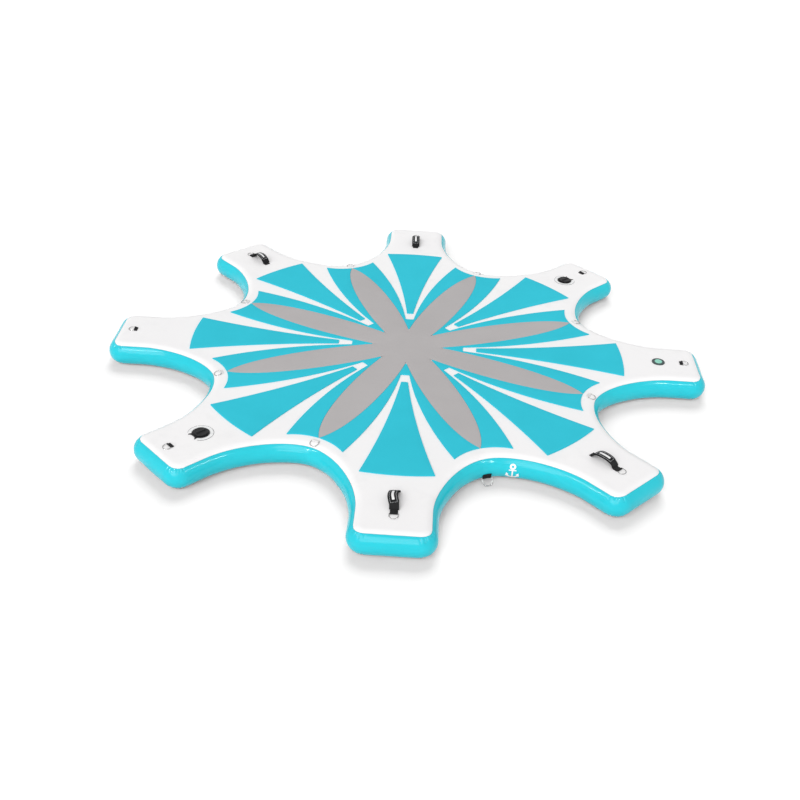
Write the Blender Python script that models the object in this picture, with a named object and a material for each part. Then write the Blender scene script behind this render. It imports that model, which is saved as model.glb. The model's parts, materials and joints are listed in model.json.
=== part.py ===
# Inflatable eight-armed yoga platform with foam deck pads, carry handles, tie rings and valves.
# Metres, +Z up. The origin is the centre of the footprint, on the surface that the platform lies on.
# Arms are numbered clockwise seen from above, starting with the one that points along -Y.
# Bay number k lies between arm k and the next arm.

from math import acos, asin, atan, cos, hypot, pi, radians, sin, sqrt

import bpy
import bmesh
from mathutils import Matrix, Vector

# Inflated panel
THICKNESS = 0.150
ARM_COUNT = 8
ARM_END = 1.771             # centre to where the flat deck ends on an arm
ARM_HALF_WIDTH = 0.1524     # flat deck, half the width of an arm
ARM_CORNER = 0.022
ARM_STRAIGHT = 0.156        # straight side of an arm, back from its end
BAY_APEX = 1.180            # centre to where the flat deck ends in a bay
BAY_SIDE_PULL = 0.181       # how far the arm's direction carries into the bay's curve
BAY_APEX_PULL = 0.190       # how far the curve runs square to the bay's axis
CLOTH = 0.0016
SEAM_ANGLE = radians(36)    # round the half-round edge, from the deck down to the side band
GAP = 0.0003                # between pieces that touch

# Foam deck pads
PAD = 0.005
PAD_JOINT = 0.0012          # between a petal and the chevrons beside it
RIM_MARGIN = 0.039          # bare deck between the pads and the inner end of a bay
PETAL_ROOT = 0.1973         # centre to where two petals meet
PETAL_ROOT_PULL = (0.3794, 0.1097)
PETAL_TIP_PULL = (0.1925, 0.1311)   # back from the tip, and sideways
BAY_EDGE_RADIUS = 0.3036    # pads' edge facing a bay
CHEVRON_WING = 0.1724       # bay's axis to the outer corner of a chevron
CHEVRON_BOW = 0.0385
CHEVRON_NOSE = 0.006
CROTCH = 0.347              # centre to the inner end of a chevron's notch
CROTCH_HALF_WIDTH = 0.0255
WEDGE_INNER = 0.4307
WEDGE_INNER_HALF_WIDTH = 0.0203
WEDGE_FROM_END = 0.428      # back from the arm's end to the wedge's outer edge
WEDGE_FLARE = 0.0466        # how far the wedge is wider than half an arm
WEDGE_BOW = 0.0199

# Webbing folds and their rings
WEB = 0.0022
WIRE = 0.004
BAR_CLEARANCE = 0.0006
RING_REST_CLEARANCE = 0.0008
WEB_WIDTH = 0.040
RING_SIDE_CLEARANCE = 0.0012
RING_LENGTH = 0.038         # bar's centre to bow's centre
RING_BEND = 0.004
TAB_LENGTH = 0.016
TAB_FROM_END = 0.055        # back from the arm's end to the bar
TAB_FOLD_ANGLE = radians(140)

# Anchor fold, low on the wall of the last bay
ANCHOR_WEB_WIDTH = 0.050
ANCHOR_WIRE = 0.005
ANCHOR_RING_LENGTH = 0.046
ANCHOR_TAB_LENGTH = 0.022
ANCHOR_ANGLE = radians(117)

# Carry handles
HANDLE_ARMS = (1, 4, 5, 8)
HANDLE_FROM_END = 0.113     # back from the arm's end to the ring's bar
HANDLE_LENGTH = 0.190
HANDLE_INNER_TAB = 0.016
HANDLE_OUTER_TAB = 0.028
HANDLE_RISE = 0.040
HUMP_SHOULDERS = 2.4        # higher, and the arch is flatter on top
HUMP_FEET = 0.75            # lower, and the arch stands up more steeply
SLEEVE_WIDTH = 0.054
SLEEVE = 0.0042

# Inflation valves
VALVE_ARMS = (2, 6)
VALVE_FROM_END = 0.250
FLANGE_RADIUS = 0.049
FLANGE = 0.0035
LUG_HALF_ANGLE = radians(34)    # where the forked lug leaves the flange
PRONG_REACH = 0.068
PRONG_ANGLE = radians(28)
BITE_DEPTH = 0.0115         # the round notch between the prongs
BITE_HALF_WIDTH = 0.0275
THROAT_RADIUS = 0.025
THROAT_WALL = 0.003
THROAT_DEPTH = 0.034
SEAT = 0.003
GUIDE_BORE = 0.0019
VENT_COUNT = 8
VENT_RADIUS = 0.0019
VENT_CIRCLE = 0.0145
STEM_RADIUS = 0.0015
STEM_BUTTON_RADIUS = 0.008
STEM_BUTTON_SINK = 0.002    # how far below the plug the button is, besides its travel
STEM_PLATE_RADIUS = 0.023
STEM_PLATE = 0.003
STEM_TRAVEL = 0.008
VALVE_CAP_RADIUS = 0.0405
VALVE_CAP = 0.0075
VALVE_CAP_CHAMFER = 0.0035
VALVE_CAP_PLUG = 0.003
GRIP_LENGTH = 0.058
GRIP_WIDTH = 0.011
GRIP_RISE = 0.005
POCKET_CLEARANCE = 0.001
POCKET_FLOOR_CLEARANCE = 0.004

# Relief valve
RELIEF_ARM = 7
RELIEF_FROM_END = 0.203
RELIEF_FLANGE_RADIUS = 0.040
RELIEF_CAP_RADIUS = 0.0235
RELIEF_FLANGE = 0.005
RELIEF_SEAT = 0.0015        # floor of the well that the turning cap sits in
RELIEF_CHAMFER = 0.003
RELIEF_THROAT_RADIUS = 0.017
RELIEF_DEPTH = 0.026
RELIEF_CAP_PLUG = 0.007
RELIEF_CAP_RISE = 0.0015

# Facets
BAY_STEPS = 5
BAY_CROWDING = 1.6          # over 1, the bay's points crowd towards its inner end
CORNER_STEPS = 3
LAP_STEPS = 2
WALL_STEPS = 4
BASE_STEPS = 2
PETAL_STEPS = 8
PAD_STEPS = 4
FOLD_STEPS = 7
HUMP_STEPS = 12
RING_CORNER_STEPS = 2
RING_BOW_STEPS = 8
WIRE_SIDES = 6
ROUND_SIDES = 24
SMALL_SIDES = 12
VENT_SIDES = 8
FLANGE_STEPS = 20
BITE_STEPS = 6
SHARP_ANGLE = radians(35)
MITRE_LIMIT = 0.5

EDGE_RADIUS = THICKNESS / 2
SECTOR = 2 * pi / ARM_COUNT
DECK = THICKNESS            # height of the deck cloth's top
LAYER_LOW = GAP + WEB / 2
LAYER_HIGH = LAYER_LOW + WEB + GAP
RAIL_BACK = ARM_END - ARM_STRAIGHT


def arm_angle(arm):
    return -pi / 2 - SECTOR * (arm - 1)


def bay_angle(bay):
    return arm_angle(bay) - SECTOR / 2


def turned(point, angle):
    x, y = point
    return (x * cos(angle) - y * sin(angle), x * sin(angle) + y * cos(angle))


def bezier(a, b, c, d, shares):
    points = []
    for t in shares:
        u = 1 - t
        weights = (u ** 3, 3 * u * u * t, 3 * u * t * t, t ** 3)
        points.append(tuple(sum(w * p[axis] for w, p in zip(weights, (a, b, c, d))) for axis in (0, 1)))
    return points


def bezier_tangents(a, b, c, d, shares):
    tangents = []
    for t in shares:
        u = 1 - t
        slope = [u * u * (b[n] - a[n]) + 2 * u * t * (c[n] - b[n]) + t * t * (d[n] - c[n]) for n in (0, 1)]
        length = hypot(*slope)
        tangents.append((slope[0] / length, slope[1] / length))
    return tangents


def bowed(start, end, bow, steps):
    """Points of the arc from start to end that stands off its chord by bow, to the left of the way."""
    chord = Vector(end) - Vector(start)
    half = chord.length / 2
    radius = (half * half + bow * bow) / (2 * bow)
    left = Vector((-chord.y, chord.x)).normalized()
    centre = (Vector(start) + Vector(end)) / 2 - left * (radius - bow)
    sweep = 2 * asin(half / radius)
    points = []
    for i in range(steps + 1):
        turn = sweep * (0.5 - i / steps)
        arm = left * cos(turn) - chord.normalized() * sin(turn)
        points.append(tuple(centre + arm * radius))
    return points


def material(name, colour, roughness, metallic=0.0):
    made = bpy.data.materials.new(name)
    made.use_nodes = True
    shader = made.node_tree.nodes["Principled BSDF"]
    shader.inputs["Base Color"].default_value = (*colour, 1.0)
    shader.inputs["Roughness"].default_value = roughness
    shader.inputs["Metallic"].default_value = metallic
    return made


def add_mesh(name, mesh, finish, matrix=Matrix()):
    """An object for a mesh. Only the first object made from a mesh gives it its material."""
    made = bpy.data.objects.new(name, mesh)
    if not mesh.materials:
        mesh.materials.append(finish)
    bpy.context.scene.collection.objects.link(made)
    made.matrix_world = matrix
    return made


def mesh_from(name, vertices, faces, smooth=False):
    mesh = bpy.data.meshes.new(name)
    mesh.from_pydata(vertices, [], faces)
    work = bmesh.new()
    work.from_mesh(mesh)
    bmesh.ops.recalc_face_normals(work, faces=work.faces)
    work.to_mesh(mesh)
    work.free()
    if smooth:
        mesh.shade_smooth()
        mesh.set_sharp_from_angle(angle=SHARP_ANGLE)
    return mesh


def prism(name, outline, low, high):
    """A flat plate with the outline's shape."""
    count = len(outline)
    vertices = [(x, y, low) for x, y in outline] + [(x, y, high) for x, y in outline]
    faces = [list(range(count))[::-1], list(range(count, 2 * count))]
    faces += [(i, (i + 1) % count, count + (i + 1) % count, count + i) for i in range(count)]
    return mesh_from(name, vertices, faces)


def turned_solid(name, profile, sides=ROUND_SIDES):
    """A closed profile of (radius, height) turned round the Z axis. It starts and ends on the axis."""
    vertices = [(0, 0, profile[0][1]), (0, 0, profile[-1][1])]
    rings = profile[1:-1]
    for radius, height in rings:
        for i in range(sides):
            turn = 2 * pi * i / sides
            vertices.append((radius * cos(turn), radius * sin(turn), height))
    faces = []
    last = 2 + (len(rings) - 1) * sides
    for i in range(sides):
        j = (i + 1) % sides
        faces.append((0, 2 + i, 2 + j))
        faces.append((1, last + j, last + i))
        for ring in range(len(rings) - 1):
            row = 2 + ring * sides
            faces.append((row + i, row + sides + i, row + sides + j, row + j))
    return mesh_from(name, vertices, faces, smooth=True)


def turned_ring(name, profile, sides=ROUND_SIDES):
    """A closed profile of (radius, height) that stays clear of the axis, turned round it."""
    count = len(profile)
    vertices = []
    for i in range(sides):
        turn = 2 * pi * i / sides
        vertices += [(radius * cos(turn), radius * sin(turn), height) for radius, height in profile]
    faces = []
    for i in range(sides):
        row = i * count
        after = ((i + 1) % sides) * count
        for n in range(count):
            m = (n + 1) % count
            faces.append((row + n, row + m, after + m, after + n))
    return mesh_from(name, vertices, faces, smooth=True)


def boolean(target, operation, tools):
    """Cuts or joins hidden guide solids into the target."""
    for tool in tools:
        tool.hide_render = True
        tool.display_type = "WIRE"
        step = target.modifiers.new(tool.name, "BOOLEAN")
        step.operation = operation
        step.solver = "EXACT"
        step.object = tool


def place_on_arm(arm, distance, height):
    x, y = turned((distance, 0.0), arm_angle(arm))
    return Matrix.Translation((x, y, height)) @ Matrix.Rotation(arm_angle(arm), 4, "Z")


# Panel, deck cloth and side band


def rail():
    """The edge of the flat deck, counter-clockwise, as points with the direction that faces out."""
    apex = turned((BAY_APEX, 0.0), SECTOR / 2)
    across = turned((0.0, -1.0), SECTOR / 2)
    start = (RAIL_BACK, ARM_HALF_WIDTH)
    pull = (RAIL_BACK - BAY_SIDE_PULL, ARM_HALF_WIDTH)
    turn_in = (apex[0] + across[0] * BAY_APEX_PULL, apex[1] + across[1] * BAY_APEX_PULL)
    shares = [1 - (1 - i / BAY_STEPS) ** BAY_CROWDING for i in range(BAY_STEPS + 1)]
    curve = bezier(start, pull, turn_in, apex, shares)
    facing = [(ty, -tx) for tx, ty in bezier_tangents(start, pull, turn_in, apex, shares)]
    half = []
    for i in range(CORNER_STEPS + 1):
        turn = pi / 2 * i / CORNER_STEPS
        centre = (ARM_END - ARM_CORNER, ARM_HALF_WIDTH - ARM_CORNER)
        direction = (cos(turn), sin(turn))
        point = (centre[0] + ARM_CORNER * direction[0], centre[1] + ARM_CORNER * direction[1])
        half.append((point, direction))
    half += list(zip(curve, facing))
    mirrored = [((x, -y), (nx, -ny)) for (x, y), (nx, ny) in reversed(half)]
    outline = []
    for arm in range(ARM_COUNT, 0, -1):
        angle = arm_angle(arm)
        for point, direction in mirrored[1:] + half:
            outline.append((turned(point, angle), turned(direction, angle)))
    return outline


def edge_ring(outline, radius, angle):
    """A closed loop that runs round the half-round edge at an angle from the top."""
    reach = radius * sin(angle)
    height = EDGE_RADIUS + radius * cos(angle)
    return [(x + nx * reach, y + ny * reach, height) for (x, y), (nx, ny) in outline]


def spread(start, end, steps):
    return [start + (end - start) * i / steps for i in range(steps + 1)]


def shell(name, rings, capped):
    """Joins loops of equal length. Capped, the first and last are filled; otherwise they join up."""
    count = len(rings[0])
    vertices = [vertex for ring in rings for vertex in ring]
    faces = []
    pairs = len(rings) - 1 if capped else len(rings)
    for n in range(pairs):
        row = n * count
        after = ((n + 1) % len(rings)) * count
        for i in range(count):
            j = (i + 1) % count
            faces.append((row + i, row + j, after + j, after + i))
    if capped:
        faces.append(list(range(count)))
        faces.append(list(range((len(rings) - 1) * count, len(rings) * count)))
    return mesh_from(name, vertices, faces)


def make_panel(outline, finish):
    inner = EDGE_RADIUS - CLOTH - GAP
    lap_end = pi - SEAM_ANGLE
    angles = spread(0.0, SEAM_ANGLE, LAP_STEPS) + spread(SEAM_ANGLE, lap_end, WALL_STEPS)[1:]
    rings = [edge_ring(outline, inner, angle) for angle in angles]
    rings += [edge_ring(outline, EDGE_RADIUS, angle) for angle in spread(lap_end, pi, BASE_STEPS)]
    return add_mesh("drop_stitch_panel", shell("drop_stitch_panel", rings, True), finish)


def make_deck_cloth(outline, finish):
    angles = spread(0.0, SEAM_ANGLE, LAP_STEPS)
    rings = [edge_ring(outline, EDGE_RADIUS, angle) for angle in angles]
    rings += [edge_ring(outline, EDGE_RADIUS - CLOTH, angle) for angle in reversed(angles)]
    return add_mesh("deck_skin", shell("deck_skin", rings, True), finish)


def make_side_band(outline, finish):
    trim = GAP / EDGE_RADIUS
    angles = spread(SEAM_ANGLE, pi - SEAM_ANGLE, WALL_STEPS)
    angles[0] += trim
    angles[-1] -= trim
    rings = [edge_ring(outline, EDGE_RADIUS, angle) for angle in angles]
    rings += [edge_ring(outline, EDGE_RADIUS - CLOTH, angle) for angle in reversed(angles)]
    return add_mesh("side_wall", shell("side_wall", rings, False), finish)


# Foam pads


def petal_side():
    """One long edge of a petal and its directions, from its root to its tip, beside the bay's axis."""
    tip = BAY_APEX - RIM_MARGIN
    root = turned((PETAL_ROOT, 0.0), SECTOR / 2)
    ends = (root, PETAL_ROOT_PULL, (tip - PETAL_TIP_PULL[0], PETAL_TIP_PULL[1]), (tip, 0.0))
    shares = spread(0.0, 1.0, PETAL_STEPS)
    return bezier(*ends, shares), bezier_tangents(*ends, shares)


def petal_outline():
    side, _ = petal_side()
    outline = []
    for bay in range(ARM_COUNT, 0, -1):
        angle = bay_angle(bay)
        outline += [turned((x, -y), angle) for x, y in side[1:]]
        outline += [turned(point, angle) for point in reversed(side[:-1])]
    return outline


def chevron_outline():
    """A chevron pad with its arm along +X."""
    side, tangents = petal_side()
    beside = [(x - ty * PAD_JOINT, y + tx * PAD_JOINT) for (x, y), (tx, ty) in zip(side, tangents)]
    beside = [turned(point, -SECTOR / 2) for point in beside]
    beside = [(x, y) for x, y in beside if -y > CHEVRON_NOSE]
    edge_centre = BAY_APEX - RIM_MARGIN + BAY_EDGE_RADIUS
    wing_turn = asin(CHEVRON_WING / BAY_EDGE_RADIUS)
    first_turn = asin(2 * PAD_JOINT / BAY_EDGE_RADIUS)
    edge = []
    for i in range(PAD_STEPS + 1):
        turn = first_turn + (wing_turn - first_turn) * i / PAD_STEPS
        point = (edge_centre - BAY_EDGE_RADIUS * cos(turn), BAY_EDGE_RADIUS * sin(turn))
        edge.append(turned(point, -SECTOR / 2))
    crotch = (CROTCH, -CROTCH_HALF_WIDTH)
    notch = bowed(edge[-1], crotch, -CHEVRON_BOW, PAD_STEPS)[1:]
    nose_x = PETAL_ROOT + (CHEVRON_NOSE - PAD_JOINT) * (beside[0][0] - PETAL_ROOT) / (-beside[0][1])
    below = [(nose_x, -CHEVRON_NOSE / 2)] + beside[:-1] + edge + notch
    return below + [(x, -y) for x, y in reversed(below)]


def wedge_outline():
    """A wedge pad with its arm along +X."""
    outer = ARM_END - WEDGE_FROM_END
    half = ARM_HALF_WIDTH + WEDGE_FLARE
    spreading = asin(half / outer)
    edge = []
    for i in range(PAD_STEPS + 1):
        turn = spreading * (2 * i / PAD_STEPS - 1)
        edge.append((outer * cos(turn), outer * sin(turn)))
    side = bowed(edge[-1], (WEDGE_INNER, WEDGE_INNER_HALF_WIDTH), WEDGE_BOW, PAD_STEPS)[1:]
    return edge + side + [(x, -y) for x, y in reversed(side)]


def make_pads(grey, teal):
    low = DECK + GAP
    high = low + PAD
    add_mesh("petal_pad", prism("petal_pad", petal_outline(), low, high), grey)
    chevron = prism("chevron_pad", chevron_outline(), low, high)
    wedge = prism("wedge_pad", wedge_outline(), low, high)
    for arm in range(1, ARM_COUNT + 1):
        turn = Matrix.Rotation(arm_angle(arm), 4, "Z")
        add_mesh(f"wedge_pad_{arm}", wedge, teal, turn)
        add_mesh(f"chevron_pad_{arm}", chevron, teal, turn)


# Webbing folds: local X runs from the fixed end towards the ring, Z stands off the surface


def bar_height(wire, slack=0.0):
    return LAYER_LOW + WEB / 2 + BAR_CLEARANCE + slack + wire / 2


def fold(length, wire, slack=0.0):
    """The middle line of webbing that goes out along the surface, round a ring's bar and back on top."""
    reach = WEB / 2 + BAR_CLEARANCE + slack + wire / 2
    height = LAYER_LOW + reach
    path = [(-length, LAYER_LOW)]
    for i in range(FOLD_STEPS + 1):
        turn = -pi / 2 + (TAB_FOLD_ANGLE + pi / 2) * i / FOLD_STEPS
        path.append((reach * cos(turn), height + reach * sin(turn)))
    drop = path[-1][1] - LAYER_HIGH
    path.append((path[-1][0] - drop * sin(TAB_FOLD_ANGLE) / -cos(TAB_FOLD_ANGLE), LAYER_HIGH))
    path.append((-length, LAYER_HIGH))
    return path


def strip(name, path, widths, thicknesses, wrap=None):
    """A flat strip along a path in the XZ plane. wrap bends its foot round a curved wall."""
    count = len(path)
    vertices = []
    for i, (x, z) in enumerate(path):
        before = Vector(path[max(i - 1, 0)])
        after = Vector(path[min(i + 1, count - 1)])
        here = Vector((x, z))
        into = (here - before).normalized() if i else (after - here).normalized()
        out_of = (after - here).normalized() if i < count - 1 else into
        along = (into + out_of).normalized()
        side = Vector((-along.y, along.x)) / max(along.dot(into), MITRE_LIMIT)
        for offset in (thicknesses[i] / 2, -thicknesses[i] / 2):
            px, pz = here + side * offset
            if wrap:
                px, pz = wrap(px, pz)
            vertices.append((px, widths[i] / 2, pz))
            vertices.append((px, -widths[i] / 2, pz))
    faces = [(0, 1, 3, 2), (4 * count - 4, 4 * count - 2, 4 * count - 1, 4 * count - 3)]
    for i in range(count - 1):
        a = 4 * i
        b = a + 4
        faces += [(a, b, b + 1, a + 1), (a + 2, a + 3, b + 3, b + 2)]
        faces += [(a, a + 2, b + 2, b), (a + 1, b + 1, b + 3, a + 3)]
    return mesh_from(name, vertices, faces)


def ring_mesh(name, inner_width, length, wire):
    """A D-ring of round wire. Its straight bar lies on the Y axis, and its bow reaches out along X."""
    half = inner_width / 2 + wire / 2
    bow_radius = min(half, length - RING_BEND)
    path = []
    for i in range(RING_CORNER_STEPS + 1):
        turn = pi / 2 * i / RING_CORNER_STEPS
        path.append((RING_BEND * (1 - cos(turn)), half - RING_BEND + RING_BEND * sin(turn)))
    for i in range(RING_BOW_STEPS + 1):
        turn = pi / 2 - pi * i / RING_BOW_STEPS
        path.append((length - bow_radius + bow_radius * cos(turn), half * sin(turn)))
    path += [(x, -y) for x, y in path[RING_CORNER_STEPS::-1]]
    count = len(path)
    vertices = []
    for i in range(count):
        here = Vector(path[i])
        into = (here - Vector(path[i - 1])).normalized()
        out_of = (Vector(path[(i + 1) % count]) - here).normalized()
        along = (into + out_of).normalized()
        side = Vector((-along.y, along.x)) / along.dot(into)
        for n in range(WIRE_SIDES):
            turn = 2 * pi * (n + 0.5) / WIRE_SIDES
            reach = wire / 2 * cos(turn)
            vertices.append((here.x + side.x * reach, here.y + side.y * reach, wire / 2 * sin(turn)))
    faces = []
    for i in range(count):
        row = i * WIRE_SIDES
        after = ((i + 1) % count) * WIRE_SIDES
        for n in range(WIRE_SIDES):
            m = (n + 1) % WIRE_SIDES
            faces.append((row + n, after + n, after + m, row + m))
    return mesh_from(name, vertices, faces, smooth=True)


def tilted(matrix, angle):
    """Turns a ring about its bar so that its bow goes down by the angle."""
    return matrix @ Matrix.Rotation(angle, 4, "Y")


def flat_rest_angle():
    """How far a ring on the flat deck tips before its bow lies on the cloth."""
    lift = bar_height(WIRE) - WIRE / 2 - RING_REST_CLEARANCE
    return asin(lift / RING_LENGTH)


def rim_rest_angle():
    """How far a ring at the rim tips before it lies against the half-round edge."""
    lift = bar_height(WIRE) - WIRE / 2 - RING_REST_CLEARANCE
    return atan(sqrt(2 * lift / EDGE_RADIUS))


def make_tabs(black, pale, steel):
    path = fold(TAB_LENGTH, WIRE)
    flat = [WEB] * len(path)
    black_tab = strip("arm_tab", path, [WEB_WIDTH] * len(path), flat)
    pale_tab = strip("bay_tab", path, [WEB_WIDTH] * len(path), flat)
    ring = ring_mesh("ring", WEB_WIDTH + 2 * RING_SIDE_CLEARANCE, RING_LENGTH, WIRE)
    for arm in range(1, ARM_COUNT + 1):
        if arm in HANDLE_ARMS:
            continue
        foot = place_on_arm(arm, ARM_END - TAB_FROM_END, DECK)
        bar = foot @ Matrix.Translation((0, 0, bar_height(WIRE)))
        add_mesh(f"arm_tab_{arm}", black_tab, black, foot)
        add_mesh(f"arm_ring_{arm}", ring, steel, tilted(bar, flat_rest_angle()))
    for bay in range(1, ARM_COUNT):
        x, y = turned((BAY_APEX, 0.0), bay_angle(bay))
        foot = Matrix.Translation((x, y, DECK)) @ Matrix.Rotation(bay_angle(bay), 4, "Z")
        bar = foot @ Matrix.Translation((0, 0, bar_height(WIRE)))
        add_mesh(f"bay_tab_{bay}", pale_tab, pale, foot)
        add_mesh(f"bay_ring_{bay}", ring, steel, tilted(bar, rim_rest_angle()))
    return ring


def hump(x):
    """Height of a handle's middle line above its foot, for a share x of the way along its arch."""
    return HANDLE_RISE * (1 - abs(2 * x - 1) ** HUMP_SHOULDERS) ** HUMP_FEET


def make_handles(black, steel, ring):
    back = fold(HANDLE_OUTER_TAB, WIRE)[::-1]
    arch_start = -HANDLE_LENGTH + HANDLE_INNER_TAB
    arch_end = -HANDLE_OUTER_TAB
    path = [(-HANDLE_LENGTH, LAYER_LOW)]
    widths = [WEB_WIDTH]
    thicknesses = [WEB]
    for i in range(HUMP_STEPS + 1):
        share = (1 - cos(pi * i / HUMP_STEPS)) / 2
        base = LAYER_LOW + (LAYER_HIGH - LAYER_LOW) * share
        path.append((arch_start + (arch_end - arch_start) * share, base + hump(share)))
        sleeved = 0 < i < HUMP_STEPS
        widths.append(SLEEVE_WIDTH if sleeved else WEB_WIDTH)
        thicknesses.append(SLEEVE if sleeved else WEB)
    path += back[1:]
    widths += [WEB_WIDTH] * len(back[1:])
    thicknesses += [WEB] * len(back[1:])
    handle = strip("handle", path, widths, thicknesses)
    for arm in HANDLE_ARMS:
        foot = place_on_arm(arm, ARM_END - HANDLE_FROM_END, DECK)
        bar = foot @ Matrix.Translation((0, 0, bar_height(WIRE)))
        add_mesh(f"handle_{arm}", handle, black, foot)
        add_mesh(f"handle_ring_{arm}", ring, steel, tilted(bar, flat_rest_angle()))


def wall_rise(outline, bay, half_width, angle):
    """How far a bay's wall comes forward of its inner end within half_width of the bay's axis."""
    wall = [turned((x, y), -bay_angle(bay)) for x, y, _ in edge_ring(outline, EDGE_RADIUS, angle)]
    front = []
    for (ax, ay), (bx, by) in zip(wall, wall[1:] + wall[:1]):
        for y in (-half_width, half_width):
            if ax > 0 and (ay - y) * (by - y) <= 0 and ay != by:
                front.append(ax + (bx - ax) * (y - ay) / (by - ay))
    return max(front) - (BAY_APEX + EDGE_RADIUS * sin(angle))


def make_anchor(outline, black, steel):
    """The fold sits on the wall with its ring downwards. Local X starts out along the bay's axis."""
    inner_width = ANCHOR_WEB_WIDTH + 2 * RING_SIDE_CLEARANCE
    half_ring = inner_width / 2 + ANCHOR_WIRE
    under_web = wall_rise(outline, ARM_COUNT, ANCHOR_WEB_WIDTH / 2, ANCHOR_ANGLE)
    behind_ring = wall_rise(outline, ARM_COUNT, half_ring, ANCHOR_ANGLE)
    ring_back = bar_height(ANCHOR_WIRE) - ANCHOR_WIRE / 2 - GAP
    slack = max(behind_ring - under_web - ring_back, 0.0)
    seat = EDGE_RADIUS + under_web

    def wrap(along, off):
        angle = ANCHOR_ANGLE + along / seat
        return ((seat + off) * sin(angle), (seat + off) * cos(angle))

    path = fold(ANCHOR_TAB_LENGTH, ANCHOR_WIRE, slack)
    middle = (-ANCHOR_TAB_LENGTH / 2, LAYER_LOW)
    path = [path[0], middle] + path[1:-1] + [(middle[0], LAYER_HIGH), path[-1]]
    count = len(path)
    tab = strip("anchor_tab", path, [ANCHOR_WEB_WIDTH] * count, [WEB] * count, wrap)
    angle = bay_angle(ARM_COUNT)
    x, y = turned((BAY_APEX, 0.0), angle)
    centre = Matrix.Translation((x, y, EDGE_RADIUS)) @ Matrix.Rotation(angle, 4, "Z")
    add_mesh("anchor_tab", tab, black, centre)
    out, up = wrap(0.0, bar_height(ANCHOR_WIRE, slack))
    drop = EDGE_RADIUS + up - ANCHOR_WIRE / 2 - RING_REST_CLEARANCE
    lean = acos(min(drop / ANCHOR_RING_LENGTH, 1.0))
    bar = centre @ Matrix.Translation((out, 0, up))
    ring = ring_mesh("anchor_ring", inner_width, ANCHOR_RING_LENGTH, ANCHOR_WIRE)
    add_mesh("anchor_ring", ring, steel, tilted(bar, pi / 2 - lean))


# Valves


def cutter(name, radius, low, high, matrix, sides=ROUND_SIDES):
    profile = [(0, low), (radius, low), (radius, high), (0, high)]
    tool = add_mesh(name, turned_solid(name, profile, sides), None, matrix)
    tool.data.materials.clear()
    return tool


def valve_flange_outline():
    """The flange with its forked lug, which points along +X."""
    outline = []
    for turn in spread(LUG_HALF_ANGLE, 2 * pi - LUG_HALF_ANGLE, FLANGE_STEPS):
        outline.append((FLANGE_RADIUS * cos(turn), FLANGE_RADIUS * sin(turn)))
    tip_x = PRONG_REACH * cos(PRONG_ANGLE)
    tip_y = PRONG_REACH * sin(PRONG_ANGLE)
    outline.append((tip_x, -tip_y))
    for turn in spread(0.0, pi, BITE_STEPS):
        outline.append((tip_x - BITE_DEPTH * sin(turn), -BITE_HALF_WIDTH * cos(turn)))
    outline.append((tip_x, tip_y))
    return outline


def make_valve(arm, black, panel, cloth):
    foot = place_on_arm(arm, ARM_END - VALVE_FROM_END, DECK)
    tube = THROAT_RADIUS + THROAT_WALL
    seat_top = -THROAT_DEPTH
    seat_low = seat_top - SEAT
    flange_top = GAP + FLANGE
    flange = prism("valve_body", valve_flange_outline(), GAP, flange_top)
    body = add_mesh(f"valve_body_{arm}", flange, black, foot)
    sleeve = cutter(f"valve_tube_{arm}", tube, seat_low, GAP + FLANGE / 2, foot)
    throat = cutter(f"valve_throat_{arm}", THROAT_RADIUS, seat_top, flange_top + FLANGE, foot)
    bore = cutter(f"valve_bore_{arm}", GUIDE_BORE, seat_low - SEAT, seat_top + SEAT, foot, SMALL_SIDES)
    low = seat_low - SEAT
    high = seat_top + SEAT
    vents = []
    for n in range(VENT_COUNT):
        turn = Matrix.Rotation(2 * pi * (n + 0.5) / VENT_COUNT, 4, "Z")
        spot = foot @ turn @ Matrix.Translation((VENT_CIRCLE, 0, 0))
        vents.append(cutter(f"valve_vent_{arm}_{n}", VENT_RADIUS, low, high, spot, VENT_SIDES))
    boolean(body, "UNION", [sleeve])
    boolean(body, "DIFFERENCE", [throat, bore] + vents)
    pocket_depth = seat_low - STEM_PLATE - STEM_TRAVEL - POCKET_FLOOR_CLEARANCE
    pocket = cutter(f"valve_pocket_{arm}", tube + POCKET_CLEARANCE, pocket_depth, FLANGE, foot)
    boolean(panel, "DIFFERENCE", [pocket])
    boolean(cloth, "DIFFERENCE", [pocket])
    plate_top = seat_low - GAP
    button_low = -VALVE_CAP_PLUG - STEM_TRAVEL - STEM_BUTTON_SINK
    plate_low = plate_top - STEM_PLATE
    stem = [
        (0, plate_low), (STEM_PLATE_RADIUS, plate_low), (STEM_PLATE_RADIUS, plate_top),
        (STEM_RADIUS, plate_top), (STEM_RADIUS, button_low), (STEM_BUTTON_RADIUS, button_low),
        (STEM_BUTTON_RADIUS, button_low + STEM_PLATE), (0, button_low + STEM_PLATE),
    ]
    add_mesh(f"valve_stem_{arm}", turned_solid("valve_stem", stem, SMALL_SIDES), black, foot)
    cap_low = flange_top + GAP
    plug = THROAT_RADIUS - GAP
    cap_top = cap_low + VALVE_CAP
    cap = [
        (0, cap_low - VALVE_CAP_PLUG), (plug, cap_low - VALVE_CAP_PLUG), (plug, cap_low),
        (VALVE_CAP_RADIUS, cap_low), (VALVE_CAP_RADIUS, cap_top - VALVE_CAP_CHAMFER),
        (VALVE_CAP_RADIUS - VALVE_CAP_CHAMFER, cap_top), (0, cap_top),
    ]
    lid = add_mesh(f"valve_cap_{arm}", turned_solid("valve_cap", cap), black, foot)
    end = GRIP_LENGTH / 2
    side = GRIP_WIDTH / 2
    grip = [(-end, -side), (end, -side), (end, side), (-end, side)]
    bar = prism(f"valve_grip_{arm}", grip, cap_low + VALVE_CAP / 2, cap_top + GRIP_RISE)
    boolean(lid, "UNION", [add_mesh(f"valve_grip_{arm}", bar, black, foot)])


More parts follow.
